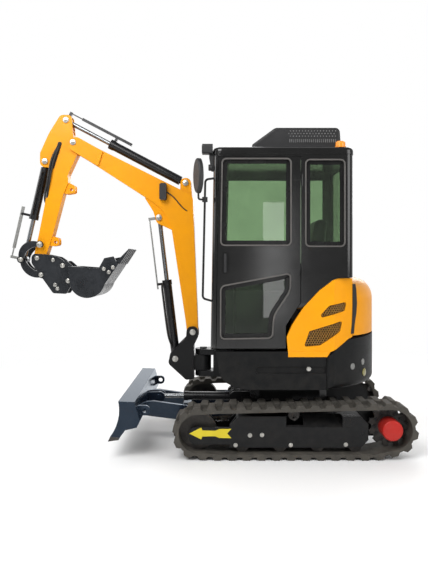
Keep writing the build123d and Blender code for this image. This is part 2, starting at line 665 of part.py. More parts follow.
def ram_barrel(foot, eye, length, radius, guard=None):
    """Ram barrel from its foot eye to its gland, bored for the rod, with a post where it has a guard."""
    tube = between(along(foot, eye, NECK_REACH), along(foot, eye, length), radius)
    neck = between(foot, along(foot, eye, NECK_REACH + 1), RAM_EYE_HALF_WIDTH - 2)
    gland = between(along(foot, eye, length - GLAND_LENGTH), along(foot, eye, length), radius + GLAND_GROWTH)
    boss = across(foot, RAM_EYE_RADIUS, -RAM_EYE_HALF_WIDTH, RAM_EYE_HALF_WIDTH)
    bottom = NECK_REACH + 12.0
    bore = between(along(foot, eye, bottom), along(foot, eye, length), ROD_RADIUS + ROD_CLEARANCE)
    pin_hole = across(foot, RAM_PIN_RADIUS + PIN_CLEARANCE, -RAM_EYE_HALF_WIDTH * 2, RAM_EYE_HALF_WIDTH * 2)
    pieces = [tube, neck, gland, boss]
    if guard:
        pieces.append(guard_post(foot, eye, length, radius, guard))
    return joined(pieces) - bore - pin_hole


def ram_rod(foot, eye, inside):
    """Ram rod that starts a distance inside the barrel and ends in its eye."""
    reach = distance_of(foot, eye)
    shaft = between(along(foot, eye, inside), along(foot, eye, reach - RAM_EYE_RADIUS * 0.6), ROD_RADIUS)
    boss = across(eye, RAM_EYE_RADIUS, -RAM_EYE_HALF_WIDTH, RAM_EYE_HALF_WIDTH)
    hole = across(eye, RAM_PIN_RADIUS + PIN_CLEARANCE, -RAM_EYE_HALF_WIDTH, RAM_EYE_HALF_WIDTH)
    return joined([shaft, boss]) - hole


def blade_profile(inset):
    """End outline of the blade's box section, hollow-faced at the front, set in by a wall."""
    with BuildSketch() as sketch:
        with BuildLine():
            front = ThreePointArc((1403, 470), (1408, 310), (1466, 192))
            Polyline(front @ 1, (1392, 182), (1347, 241), (1256, 262), (1232, 314), (1274, 465), front @ 0)
        make_face()
        if inset:
            offset(amount=-inset, kind=Kind.INTERSECTION, mode=Mode.REPLACE)
    return sketch.sketch.face()


def blade_prism(inset, half_width):
    """The blade's end outline run across the machine."""
    stand_up = Plane((0, -half_width, 0), x_dir=(1, 0, 0), z_dir=(0, -1, 0))
    return extrude(stand_up * blade_profile(inset), amount=2 * half_width, dir=(0, 1, 0))


def make_blade():
    """Blade: a hollow box section across the front on two lift arms, with a bracket for its ram."""
    half = BLADE_WIDTH / 2
    board = blade_prism(0, half) - blade_prism(BLADE_WALL, half - BLADE_WALL)
    arm = [
        (BLADE_PIVOT[0] - 40, 262), (BLADE_PIVOT[0] + 60, 245), (900, 190), (1250, 235),
        (1250, 352), (1180, 359), (852, 313), (BLADE_PIVOT[0] + 40, 342), (BLADE_PIVOT[0] - 40, 338),
    ]
    inner = BLADE_ARM_Y - BLADE_ARM_THICKNESS / 2
    arms = pair_of_slabs(arm, inner, inner + BLADE_ARM_THICKNESS, 14.0)
    tie = block(860, 930, -inner, inner, 215, 295)
    ear_y = RAM_EYE_HALF_WIDTH + SIDE_GAP
    eye_x, eye_z = BLADE_RAM_EYE
    ear = [(eye_x - 50, eye_z - 46), (1246, 272), (1250, 392), (eye_x - 50, eye_z + 46)]
    ears = pair_of_slabs(ear, ear_y, ear_y + BLADE_EAR_THICKNESS, [44, 4, 4, 44])
    blade = joined([board, *arms, tie, *ears])
    for side in (1, -1):
        ends = sorted((side * (inner - 1), side * (inner + BLADE_ARM_THICKNESS + 1)))
        blade -= across(BLADE_PIVOT, BLADE_PIN_RADIUS + PIN_CLEARANCE, *ends)
    return joined([blade, *stub_pins(BLADE_RAM_EYE, ear_y, BLADE_EAR_THICKNESS), *tie_down_eyes()])


def stub_pins(spot, inner_y, thickness, radius=RAM_PIN_RADIUS):
    """Pin heads outside a pair of ears whose eye is free between them."""
    head = 12.0
    start = inner_y + thickness
    return [across(spot, radius + 6, start, start + head), across(spot, radius + 6, -start - head, -start)]


def tie_down_eyes():
    """Lashing eyes on the back of the blade, near both its ends."""
    centre_x, centre_z = TIE_DOWN_CENTRE
    reach = TIE_DOWN_HOLE_RADIUS + 20.0
    outline = [
        (centre_x - reach, centre_z - reach), (1262, centre_z - reach),
        (1272, centre_z + reach), (centre_x - reach, centre_z + reach),
    ]
    eyes = pair_of_slabs(outline, TIE_DOWN_Y, TIE_DOWN_Y + TIE_DOWN_THICKNESS, [reach - 2, 3, 3, reach - 2])
    whole = OVERALL_WIDTH
    return [eye - across(TIE_DOWN_CENTRE, TIE_DOWN_HOLE_RADIUS, -whole, whole) for eye in eyes]


def make_cutting_edge():
    """Wear strip bolted along the blade's lower lip."""
    strip = [(1466, 191.5), BLADE_EDGE_TIP, (1400, 164), (1393, 181.5)]
    return slab(strip, -BLADE_WIDTH / 2, BLADE_WIDTH / 2)


def tail_plan(inset, z0, z1):
    """Upper body's plan, straight-sided in front and round behind, as a solid between two heights."""
    side = BODY_SIDE_Y - inset
    front = block(0, DECK_FRONT_X - inset, -side, side, z0, z1)
    tail = upright(0, 0, TAIL_RADIUS - inset, z0, z1) & block(-TAIL_RADIUS, 0, -side, side, z0, z1)
    return joined([front, tail])


def make_main_frame():
    """Revolving deck with its ribs, front wall and the post that carries the swing bracket."""
    deck = tail_plan(COUNTERWEIGHT_WALL + FIT_GAP, DECK_BOTTOM_Z, DECK_TOP_Z)
    rib_y = 190.0
    rib_thickness = 24.0
    ribs = [block(170 - TAIL_RADIUS, DECK_FRONT_X - 200, y, y + rib_thickness, DECK_TOP_Z - 1, RIB_TOP_Z)
            for y in (rib_y, -rib_y - rib_thickness)]
    wall_x = DECK_FRONT_X - 150.0
    wall_side = BODY_SIDE_Y - SKIRT_THICKNESS - FIT_GAP
    wall = block(wall_x - 15, wall_x, -wall_side, wall_side, DECK_BOTTOM_Z, SKIRT_TOP_Z)
    sill = block(60, wall_x, -wall_side, wall_side, SKIRT_TOP_Z - 30, SKIRT_TOP_Z)
    web_half = 100.0
    web = block(wall_x - 10, SWING_AXIS_X - SWING_BOSS_RADIUS - 15, -web_half, web_half,
                DECK_BOTTOM_Z, UPPER_LUG_Z[1])
    lugs = [swing_lug(*LOWER_LUG_Z, web_half), swing_lug(*UPPER_LUG_Z, web_half)]
    pin = upright(SWING_AXIS_X, 0, SWING_PIN_RADIUS, LOWER_LUG_Z[0], UPPER_LUG_Z[1] + 12)
    return joined([deck, *ribs, wall, sill, web, *lugs, pin])


def swing_lug(z0, z1, half_width):
    """Horizontal lug round the boom-swing pin, widening back to the post."""
    boss = upright(SWING_AXIS_X, 0, SWING_BOSS_RADIUS, z0, z1)
    back_x = SWING_AXIS_X - SWING_BOSS_RADIUS - 20
    plan = [(back_x, -half_width), (SWING_AXIS_X, -SWING_BOSS_RADIUS), (SWING_AXIS_X, SWING_BOSS_RADIUS),
            (back_x, half_width)]
    wire = Wire.make_polygon([(x, y, z0) for x, y in plan], close=True)
    return joined([boss, extrude(Face(wire), amount=z1 - z0, dir=(0, 0, 1))])


def hood_outline(points):
    """Outline whose points are (share of the hood's length behind its front, height)."""
    return [(HOOD_FRONT_X - share * HOOD_LENGTH, z) for share, z in points]


def make_counterweight():
    """Cast counterweight: a thick round wall under the rear hood."""
    top = REAR_HOOD_BOTTOM_Z
    ring = tail_plan(0, DECK_BOTTOM_Z, top) - tail_plan(COUNTERWEIGHT_WALL, DECK_BOTTOM_Z, top)
    weight = ring & slab(hood_outline(COUNTERWEIGHT_EDGE), -BODY_SIDE_Y, BODY_SIDE_Y)
    outside = [edge for edge in weight.edges().filter_by(GeomType.CIRCLE) if edge.radius > TAIL_RADIUS - 1]
    return fillet(min(outside, key=lambda edge: edge.center().Z), COUNTERWEIGHT_ROUNDING)


def make_skirts():
    """Lower side panels of the upper body, each with a long pressed groove."""
    rear = hood_outline([(0.661, SKIRT_TOP_Z), (SKIRT_END, 808), (SKIRT_END, 545)])
    left = slab([*SKIRT_FRONT, *rear], BODY_SIDE_Y - SKIRT_THICKNESS, BODY_SIDE_Y)
    groove_depth = 12.0
    groove_end = rear[-1][0] + PANEL_GAP
    groove = [(310, 676), (310, 732), (groove_end, 732), (groove_end, 676)]
    left -= slab(groove, BODY_SIDE_Y - groove_depth, BODY_SIDE_Y + 1, [27, 27, 0, 0])
    return both_sides(left)


def make_hood_left():
    """Left engine cover behind the door, wrapping round to the rear hood, with two vents."""
    skin = tail_plan(0, 850, 1450) - tail_plan(HOOD_WALL, 850, 1450)
    panel = skin & slab(hood_outline(HOOD_LEFT_EDGE), 200, BODY_SIDE_Y + 1)
    for vent in map(hood_outline, VENT_EDGES):
        panel -= slab(vent, BODY_SIDE_Y - HOOD_WALL * 3, BODY_SIDE_Y + 1, VENT_CORNER)
    return panel


def make_vent_grilles():
    """Slatted plates set inside the left hood's two vents."""
    setback = 14.0
    thickness = 6.0
    slit = 13.0
    pitch = 26.0
    rim = 16.0
    sheet = tail_plan(setback, 850, 1450) - tail_plan(setback + thickness, 850, 1450)
    plates = []
    for vent in map(hood_outline, VENT_EDGES):
        inner_y = BODY_SIDE_Y - HOOD_WALL * 3
        plate = sheet & rounded_pane(vent, FIT_GAP, inner_y, BODY_SIDE_Y, VENT_CORNER)
        inside = rounded_pane(vent, rim, inner_y, BODY_SIDE_Y, VENT_CORNER)
        low = min(z for x, z in vent)
        high = max(z for x, z in vent)
        for index in range(1, int((high - low) / pitch)):
            z = low + index * pitch
            plate -= inside & block(-600, 100, inner_y, BODY_SIDE_Y, z, z + slit)
        plates += solids_of(plate)
    return Compound(children=plates)


def make_hood_right():
    """Right cover over the tanks, falling away to the front."""
    inner_y = CAB_RIGHT_Y - PANEL_GAP
    edge = hood_outline(HOOD_RIGHT_EDGE)
    outer = tail_plan(0, 850, 1450) & slab(edge, -BODY_SIDE_Y, inner_y)
    smaller = offset(face_on(edge, inner_y - COVER_WALL), amount=-COVER_WALL, kind=Kind.INTERSECTION)
    room = extrude(smaller.face(), amount=BODY_SIDE_Y, dir=(0, -1, 0))
    room = room & tail_plan(COVER_WALL, 850, 1450)
    floor_cut = block(-300, 580, -BODY_SIDE_Y + COVER_WALL, inner_y - COVER_WALL, 850, 880)
    return outer - room - floor_cut


def crowned_drum(inset):
    """Round tail form with a crowned top, set in by a wall."""
    drum = upright(0, 0, TAIL_RADIUS - 2 - inset, REAR_HOOD_BOTTOM_Z, REAR_HOOD_TOP_Z - inset)
    return fillet(drum.faces().sort_by(Axis.Z)[-1].edges(), REAR_HOOD_CROWN)


def make_rear_hood():
    """Rear engine lid: a crowned round shell hinged along its top front edge."""
    shell = crowned_drum(0) - crowned_drum(COVER_WALL)
    reach = TAIL_RADIUS + 10.0
    lid = shell & block(-reach, REAR_HOOD_X, -reach, reach, REAR_HOOD_BOTTOM_Z, REAR_HOOD_TOP_Z)
    knuckle = REAR_HINGE_KNUCKLE
    for y in REAR_HINGE_Y:
        room_end = y + 2 * knuckle + 2 * FIT_GAP
        lid -= across(REAR_HINGE, REAR_HINGE_RADIUS + PIN_CLEARANCE, y - FIT_GAP, room_end)
    return joined([lid, *[lid_knuckle(y) for y in REAR_HINGE_Y]])


def lid_knuckle(y):
    """Hinge knuckle of the rear lid with a short leaf under the lid's top."""
    x, z = REAR_HINGE
    leaf = block(x - 2 * REAR_HINGE_RADIUS, x, y, y + REAR_HINGE_KNUCKLE, z - REAR_HINGE_RADIUS, z)
    return joined([across(REAR_HINGE, REAR_HINGE_RADIUS, y, y + REAR_HINGE_KNUCKLE), leaf])


def cab_knuckle(y):
    """Hinge knuckle of the rear lid on the cab's back wall."""
    x, z = REAR_HINGE
    start = y + REAR_HINGE_KNUCKLE + FIT_GAP
    end = start + REAR_HINGE_KNUCKLE
    leaf = block(x, CAB_REAR_X + 1, start, end, z - REAR_HINGE_RADIUS, z + REAR_HINGE_RADIUS)
    return joined([across(REAR_HINGE, REAR_HINGE_RADIUS, start, start + REAR_HINGE_KNUCKLE), leaf])


def make_engine():
    """Engine and pump as one plain block on the deck's ribs."""
    return block(410 - TAIL_RADIUS, 10, -200, TAIL_RADIUS - 300, RIB_TOP_Z, 1100)


def grown(points, amount):
    """Outline moved outwards by an amount, or inwards by a negative one, as a flat face at y = 0."""
    return offset(face_on(points, 0.0), amount=amount, kind=Kind.INTERSECTION).face()


def cut_through(points, amount, y0, y1):
    """Prism on a grown outline between two y, used to cut a wall."""
    return extrude(Pos(0, y0, 0) * grown(points, amount), amount=y1 - y0, dir=(0, 1, 0))


def pane_along_x(window, inset, x0, x1):
    """Rounded pane or opening in the YZ plane between x0 and x1."""
    y0, y1, z0, z1 = window
    corners = [(x0, y0 + inset, z0 + inset), (x0, y1 - inset, z0 + inset), (x0, y1 - inset, z1 - inset),
               (x0, y0 + inset, z1 - inset)]
    wire = Wire(FilletPolyline(*corners, radius=WINDOW_CORNER - inset, close=True).edges())
    return extrude(Face(wire), amount=x1 - x0, dir=(1, 0, 0))


def make_cab_frame():
    """Cab shell with its door opening and its windows cut."""
    outer = make_cab_body()
    room = cut_through(CAB_PROFILE, -CAB_WALL, CAB_RIGHT_Y + CAB_WALL, BODY_SIDE_Y - CAB_WALL)
    shell = outer - room
    left = (BODY_SIDE_Y - CAB_WALL - 1, BODY_SIDE_Y + 1)
    right = (CAB_RIGHT_Y - 1, CAB_RIGHT_Y + CAB_WALL + 1)
    shell -= cut_through(DOOR_EDGE, 0, *left)
    shell -= slab(QUARTER_WINDOW, *left, WINDOW_CORNER)
    shell -= slab(SIDE_WINDOW, *right, WINDOW_CORNER)
    shell -= pane_along_x(FRONT_WINDOW, 0, 560, 700)
    shell -= pane_along_x(REAR_WINDOW, 0, CAB_REAR_X - 1, CAB_REAR_X + CAB_WALL + 1)
    hood_room = cut_through(hood_outline(HOOD_LEFT_EDGE), PANEL_GAP, BODY_SIDE_Y - 165, BODY_SIDE_Y + 1)
    leaves = [hinge_leaf(z, -1) for z in HINGE_HEIGHTS]
    knuckles = [cab_knuckle(y) for y in REAR_HINGE_Y]
    return joined([shell - hood_room, *leaves, *knuckles])


def make_cab_body():
    """Cab's outside as one full solid, with its upright corners rounded."""
    outer = slab(CAB_PROFILE, CAB_RIGHT_Y, BODY_SIDE_Y, [30, 0, 0, 30, 20, 20])
    upright_edges = [edge for edge in outer.edges() if abs(edge.tangent_at(0.5).Z) > 0.99]
    corners = [edge for edge in upright_edges if edge.length > CAB_EAVES_Z - CAB_STEP_Z - CAB_CORNER]
    return fillet(corners, CAB_CORNER)


def cab_front_x(z):
    """Place of the cab's leaning front face at a height."""
    lean = (CAB_PROFILE[0][0] - CAB_PROFILE[1][0]) / (CAB_EAVES_Z - CAB_BOTTOM_Z)
    return CAB_PROFILE[0][0] - lean * (z - CAB_BOTTOM_Z)


def make_cab_glass():
    """Front, rear, right and left rear panes, each seated in its opening."""
    gap = FIT_GAP
    mid = CAB_WALL / 2
    pane = GLASS_THICKNESS / 2
    y0, y1, z0, z1 = FRONT_WINDOW
    foot_x = cab_front_x(z0) - mid
    head_x = cab_front_x(z1) - mid
    sheet = [(foot_x - pane, z0), (foot_x + pane, z0), (head_x + pane, z1), (head_x - pane, z1)]
    front = slab(sheet, y0, y1) & pane_along_x(FRONT_WINDOW, gap, 560, 700)
    rear = pane_along_x(REAR_WINDOW, gap, CAB_REAR_X + mid - pane, CAB_REAR_X + mid + pane)
    right_y = CAB_RIGHT_Y + mid
    left_y = BODY_SIDE_Y - mid
    right = rounded_pane(SIDE_WINDOW, gap, right_y - pane, right_y + pane)
    quarter = rounded_pane(QUARTER_WINDOW, gap, left_y - pane, left_y + pane)
    return Compound(children=[*solids_of(front), *solids_of(rear), *solids_of(right), *solids_of(quarter)])


def rounded_pane(points, inset, y0, y1, corner=WINDOW_CORNER):
    """Pane that fits inside a rounded opening of a side wall."""
    opening = slab(points, y0, y1, corner)
    face = opening.faces().sort_by(Axis.Y)[0]
    return extrude(offset(face, amount=-inset).face(), amount=y1 - y0, dir=(0, 1, 0))


def make_door():
    """Cab door with an upper and a lower window, a handle recess and its hinge knuckles."""
    y0 = BODY_SIDE_Y - CAB_WALL
    door = cut_through(DOOR_EDGE, -PANEL_GAP, y0, BODY_SIDE_Y)
    door -= slab(DOOR_WINDOW, y0 - 1, BODY_SIDE_Y + 1, WINDOW_CORNER)
    door -= slab(DOOR_LOWER_WINDOW, y0 - 1, BODY_SIDE_Y + 1, 30.0)
    recess = [(586, 1474), (586, 1654), (526, 1654), (526, 1474)]
    recess_depth = 22.0
    door -= slab(recess, BODY_SIDE_Y - recess_depth, BODY_SIDE_Y + 1, 20.0)
    knuckles = [hinge_leaf(z, 1) for z in HINGE_HEIGHTS]
    return joined([door, *knuckles])


def hinge_leaf(z, side):
    """Half of a door hinge: a knuckle on the hinge line and a leaf on the door or on the pillar."""
    hinge_x, hinge_y = DOOR_HINGE
    z0 = z if side > 0 else z - HINGE_KNUCKLE - FIT_GAP
    knuckle = upright(hinge_x, hinge_y, HINGE_RADIUS, z0, z0 + HINGE_KNUCKLE)
    leaf_x = (hinge_x, hinge_x + DOOR_LEAF) if side > 0 else (hinge_x - PILLAR_LEAF, hinge_x)
    leaf = block(*leaf_x, BODY_SIDE_Y - 1, hinge_y - 3, z0, z0 + HINGE_KNUCKLE)
    if side > 0:
        leaf -= block(hinge_x - 20, DOOR_EDGE[0][0] + PANEL_GAP + 2, BODY_SIDE_Y - 2, BODY_SIDE_Y + 2, z0,
                      z0 + HINGE_KNUCKLE)
    return joined([knuckle, leaf])


def make_door_glass():
    """The door's two panes."""
    mid_y = BODY_SIDE_Y - CAB_WALL / 2
    half = GLASS_THICKNESS / 2
    upper = slab(DOOR_WINDOW, mid_y - half, mid_y + half, WINDOW_CORNER)
    lower = slab(DOOR_LOWER_WINDOW, mid_y - half, mid_y + half, 30.0)
    panes = []
    for pane in (upper, lower):
        face = pane.faces().sort_by(Axis.Y)[0]
        smaller = offset(face, amount=-FIT_GAP).face()
        panes += solids_of(extrude(smaller, amount=GLASS_THICKNESS, dir=(0, 1, 0)))
    return Compound(children=panes)


def make_door_handle():
    """Grab handle that stands in the door's recess."""
    back_y = BODY_SIDE_Y - 22.0
    grip = slab([(566, 1488), (566, 1640), (546, 1640), (546, 1488)], back_y + 14, back_y + 28, 8.0)
    feet = [block(550, 562, back_y, back_y + 15, z, z + 20) for z in (1494, 1614)]
    return joined([grip, *feet])


def make_cab_roof():
    """Roof panel with rounded corners and a soft upper edge."""
    overhang = 6.0
    roof = block(CAB_REAR_X - overhang, 650 + overhang, CAB_RIGHT_Y - overhang, BODY_SIDE_Y + overhang,
                 CAB_EAVES_Z, CAB_ROOF_Z)
    roof = fillet(roof.edges().filter_by(Axis.Z), 70.0)
    roof = fillet(roof.faces().sort_by(Axis.Z)[-1].edges(), 34.0)
    rim = 50.0
    return roof - block(CAB_REAR_X + rim, 650 - rim, CAB_RIGHT_Y + rim, BODY_SIDE_Y - rim, CAB_EAVES_Z - 1,
                        CAB_ROOF_Z - COVER_WALL)


def make_seat_base():
    """Suspension box under the seat, on the cab's step."""
    rear = CAB_REAR_X + 248
    return block(rear, rear + 270, SEAT_Y - 190, SEAT_Y + 190, CAB_STEP_Z + CAB_WALL, SEAT_BASE_Z)


def make_seat_cushion():
    """Seat cushion as a plain rounded pad."""
    rear = CAB_REAR_X + 228
    pad = block(rear, rear + 510, SEAT_Y - 230, SEAT_Y + 230, SEAT_BASE_Z + FIT_GAP, SEAT_TOP_Z)
    return fillet(pad.edges(), 40.0)


def make_seat_back():
    """Seat back as a plain rounded pad, leaning slightly."""
    rear = CAB_REAR_X
    foot_z = SEAT_TOP_Z + FIT_GAP
    outline = [(rear + 216, foot_z), (rear + 338, foot_z), (rear + 258, 1960), (rear + 160, 1960)]
    pad = slab(outline, SEAT_Y - 220, SEAT_Y + 220, 40.0)
    return fillet(pad.edges().filter_by(GeomType.LINE).filter_by(Axis.Y, reverse=True), 30.0)


def make_control_levers():
    """Consoles at both sides of the seat with a joystick each, and two travel levers on the floor."""
    pieces = []
    console_top = 1560.0
    rear = CAB_REAR_X + 418
    for side in (1, -1):
        y = SEAT_Y + side * 310
        console = block(rear, rear + 75, y - 55, y + 55, CAB_STEP_Z + CAB_WALL, console_top)
        arm = block(rear, rear + 280, y - 55, y + 55, console_top - 70, console_top)
        stick = upright(rear + 230, y, 14, console_top - 5, console_top + 170)
        grip = upright(rear + 230, y, 26, console_top + 90, console_top + 190)
        pieces.append(joined([console, arm, stick, grip]))
        lever = upright(470, SEAT_Y + side * 90, 10, CAB_BOTTOM_Z + CAB_WALL, 1500)
        knob = upright(470, SEAT_Y + side * 90, 22, 1450, 1540)
        pieces.append(joined([lever, knob]))
    return Compound(children=[solid for piece in pieces for solid in solids_of(piece)])


def make_ac_unit():
    """Roof cooling unit with a sloped front."""
    rear = CAB_REAR_X + 66
    side = 295.0
    top_z = CAB_ROOF_Z + 192
    front = [(330, CAB_ROOF_Z), (330, CAB_ROOF_Z + 52), (138, top_z)]
    outline = [*front, (rear + 12, top_z), (rear, CAB_ROOF_Z)]
    unit = slab(outline, SEAT_Y - side, SEAT_Y + side, [6, 14, 60, 40, 8])
    sides = unit.faces().sort_by(Axis.Y)
    rims = [edge for face in (sides[0], sides[-1]) for edge in face.edges()]
    top_rims = [edge for edge in rims if edge.center().Z > CAB_ROOF_Z + 20]
    unit = fillet(top_rims, 20.0)
    return unit - block(rear + 32, 120, SEAT_Y - side + 20, SEAT_Y + side - 20, CAB_ROOF_Z - 1, top_z - 30)


def rail_tube(radius):
    """Grab rail's tube with its two bent ends running into the cab."""
    path = FilletPolyline(*[(x, RAIL_Y, z) for x, z in RAIL_BENDS], radius=RAIL_BEND_RADIUS)
    return sweep(Plane(path @ 0, z_dir=path % 0) * Circle(radius), path=path)


def make_mirror():
    """Oval mirror head, turned to the operator, on a bent arm clamped to the grab rail."""
    turn = radians(MIRROR_TURN)
    outward = (cos(turn), sin(turn), 0)
    plane = Plane(MIRROR_CENTRE, x_dir=(-outward[1], outward[0], 0), z_dir=outward)
    head = extrude(plane * Ellipse(62, 140), amount=36)
    head = fillet(head.faces().sort_by(Axis(MIRROR_CENTRE, outward))[-1].edges(), 16.0)
    x, z = MIRROR_CLAMP
    clamp = upright(x, RAIL_Y, MIRROR_CLAMP_RADIUS, z - 20, z + 20)
    centre_x, centre_y, centre_z = MIRROR_CENTRE
    elbow_x = centre_x + 14
    bends = [(x + 12, RAIL_Y, z), (elbow_x, RAIL_Y + 20, z), (elbow_x, centre_y + 8, centre_z - 110)]
    path = FilletPolyline(*bends, radius=25.0)
    arm = sweep(Plane(path @ 0, z_dir=path % 0) * Circle(8), path=path)
    return joined([head, arm, clamp]) - rail_tube(RAIL_RADIUS + FIT_GAP)


def make_handrail():
    """Grab rail at the cab's left front corner, its bent ends on the cab."""
    return rail_tube(RAIL_RADIUS) - Pos(FIT_GAP, 0, 0) * make_cab_body()


def make_cab_lamp():
    """Work lamp at the cab's left front eaves."""
    case = block(656 + FIT_GAP, 742, BODY_SIDE_Y - 104, BODY_SIDE_Y - 14, CAB_EAVES_Z + 6, CAB_EAVES_Z + 86)
    return fillet(case.edges().filter_by(Axis.X), 16.0)


def make_beacon():
    """Amber lamp on the roof's left rear corner."""
    spot = (CAB_REAR_X + 98, BODY_SIDE_Y - 60)
    base = upright(*spot, 46, CAB_ROOF_Z, CAB_ROOF_Z + 10)
    dome = upright(*spot, 40, CAB_ROOF_Z + 9, CAB_ROOF_Z + 52)
    dome = fillet(dome.faces().sort_by(Axis.Z)[-1].edges(), 16.0)
    return joined([base, dome])


def make_swing_bracket():
    """Cast bracket on the swing pin, with ears for the boom's foot and its ram's foot."""
    inner = BOOM_HALF_WIDTH + SIDE_GAP
    outer = inner + BRACKET_PLATE
    plate = [
        (835, 520), (905, 512), (1066, 660), (1046, 752), (905, 890), (897, 992), (795, 992), (795, 900),
        (835, 820),
    ]
    plates = pair_of_slabs(plate, inner, outer, [12, 30, 46, 30, 60, 48, 48, 30, 40])
    spine = block(835, 866, -outer, outer, 520, 840)
    boss_z = (LOWER_LUG_Z[1] + SIDE_GAP, UPPER_LUG_Z[0] - SIDE_GAP)
    boss = upright(SWING_AXIS_X, 0, SWING_BOSS_RADIUS - 5, *boss_z)
    neck = block(SWING_AXIS_X, 840, -SWING_BOSS_RADIUS + 7, SWING_BOSS_RADIUS - 7, *boss_z)
    foot_pin = across(BOOM_FOOT, FOOT_PIN_RADIUS, -outer, outer)
    ram_pin = across(BOOM_RAM_FOOT, RAM_PIN_RADIUS, -outer, outer)
    spacers = [across(BOOM_RAM_FOOT, 32, RAM_SLOT_HALF, inner + 1),
               across(BOOM_RAM_FOOT, 32, -inner - 1, -RAM_SLOT_HALF)]
    bracket = joined([*plates, spine, boss, neck, foot_pin, ram_pin, *spacers])
    return bracket - upright(SWING_AXIS_X, 0, SWING_PIN_RADIUS + PIN_CLEARANCE, *boss_z)


def make_boom():
    """Boom: a bent hollow box with ears for its rams, a foot boss and a forked nose."""
    half = BOOM_HALF_WIDTH
    box = slab(BOOM_EDGE, -half, half, BOOM_CORNERS)
    side = box.faces().sort_by(Axis.Y)[0]
    void_face = offset(side, amount=-BOOM_PLATE, kind=Kind.INTERSECTION).face()
    void = extrude(Pos(0, BOOM_PLATE, 0) * void_face, amount=2 * (half - BOOM_PLATE), dir=(0, 1, 0))
    foot_keep = across(BOOM_FOOT, EAR_RADIUS + 6, -half, half)
    nose_reach = 165.0
    box = box - (void - foot_keep) - across(ARM_PIVOT, nose_reach, -half, half)
    end_plate = across(ARM_PIVOT, nose_reach + BOOM_PLATE, -half, half)
    end_plate -= across(ARM_PIVOT, nose_reach, -half, half)
    end_plate = end_plate & slab(BOOM_EDGE, -half, half, BOOM_CORNERS)
    cheeks = pair_of_slabs(NOSE_EDGE, CHEEK_INNER_Y, CHEEK_OUTER_Y, [12, 12, 50, 50])
    ram_bracket = [(1030, 1860), (1172, 1926), (1204, 2030), (1290, 2166), (1090, 2110)]
    ram_ears = pair_of_slabs(ram_bracket, RAM_SLOT_HALF, RAM_SLOT_HALF + RAM_EAR_PLATE, [10, 42, 40, 10, 10])
    arm_ear = [(852, 2150), (866, 2334), (955, 2334), (962, 2200)]
    arm_ears = pair_of_slabs(arm_ear, RAM_SLOT_HALF, RAM_SLOT_HALF + RAM_EAR_PLATE, [10, 43, 43, 10])
    ear_end = RAM_SLOT_HALF + RAM_EAR_PLATE
    arm_ram_pin = across(ARM_RAM_FOOT, RAM_PIN_RADIUS, -ear_end - 12, ear_end + 12)
    pivot_pin = across(ARM_PIVOT, PIVOT_PIN_RADIUS, -CHEEK_OUTER_Y - 6, CHEEK_OUTER_Y + 6)
    boom = joined([box, end_plate, *cheeks, *ram_ears, *arm_ears, arm_ram_pin, pivot_pin,
                   *stub_pins(BOOM_RAM_EYE, RAM_SLOT_HALF, RAM_EAR_PLATE)])
    return boom - across(BOOM_FOOT, FOOT_PIN_RADIUS + PIN_CLEARANCE, -half - 1, half + 1)


def make_boom_lamp():
    """Work lamp on the boom's left side."""
    case = block(1080, 1140, BOOM_HALF_WIDTH + FIT_GAP, 125, 2130, 2280)
    return fillet(case.edges().filter_by(Axis.Y), 14.0)


def make_arm():
    """Arm: a tapered hollow box with slots for two ram eyes and lugs for a thumb."""
    half = ARM_HALF_WIDTH
    body = slab(ARM_EDGE, -half, half, ARM_CORNERS)
    body -= slab(ARM_FORK, -RAM_SLOT_HALF, RAM_SLOT_HALF)
    body -= across(BUCKET_RAM_FOOT, 64, -RAM_SLOT_HALF, RAM_SLOT_HALF)
    void = [(2010, 2330), (2120, 2330), (2150, 2176), (2210, 1830), (2145, 1830), (2045, 2190)]
    body -= slab(void, -half + BOOM_PLATE, half - BOOM_PLATE, 10.0)
    lugs = [lug_plate for outline in THUMB_LUGS for lug_plate in pair_of_slabs(outline, 24.0, 44.0, 24.0)]
    ear_end = half + 10.0
    ram_pin = across(BUCKET_RAM_FOOT, RAM_PIN_RADIUS, -ear_end, ear_end)
    tip_pin_end = COUPLER_INNER_Y - 4.0
    arm = joined([body, *lugs, ram_pin, *stub_pins(ARM_RAM_EYE, RAM_SLOT_HALF, half - RAM_SLOT_HALF - 8)])
    for hole in THUMB_HOLES:
        arm -= across(hole, THUMB_HOLE_RADIUS, -half, half)
    arm -= across(ARM_PIVOT, PIVOT_PIN_RADIUS + PIN_CLEARANCE, -half - 1, half + 1)
    arm -= across(ARM_TIP, TIP_PIN_RADIUS + PIN_CLEARANCE, -tip_pin_end, tip_pin_end)
    return arm - across(GUIDE_PIN, RAM_PIN_RADIUS + PIN_CLEARANCE, -half - 1, half + 1)


def bowed_plate(start, end, bow, y0, y1):
    """Link plate with round ends, bowed to the left of the way from start to end."""
    half = LINK_HALF_WIDTH
    reach = distance_of(start, end)

    def spot(distance, offset):
        x, z = beside(start, end, distance, offset)
        return (x, y0, z)

    outer = Edge.make_three_point_arc(spot(0, half), spot(reach / 2, bow + half), spot(reach, half))
    far_end = Edge.make_three_point_arc(spot(reach, half), spot(reach + half, 0), spot(reach, -half))
    inner = Edge.make_three_point_arc(spot(reach, -half), spot(reach / 2, bow - half), spot(0, -half))
    near_end = Edge.make_three_point_arc(spot(0, -half), spot(-half, 0), spot(0, half))
    return extrude(Face(Wire([outer, far_end, inner, near_end])), amount=y1 - y0, dir=(0, 1, 0))


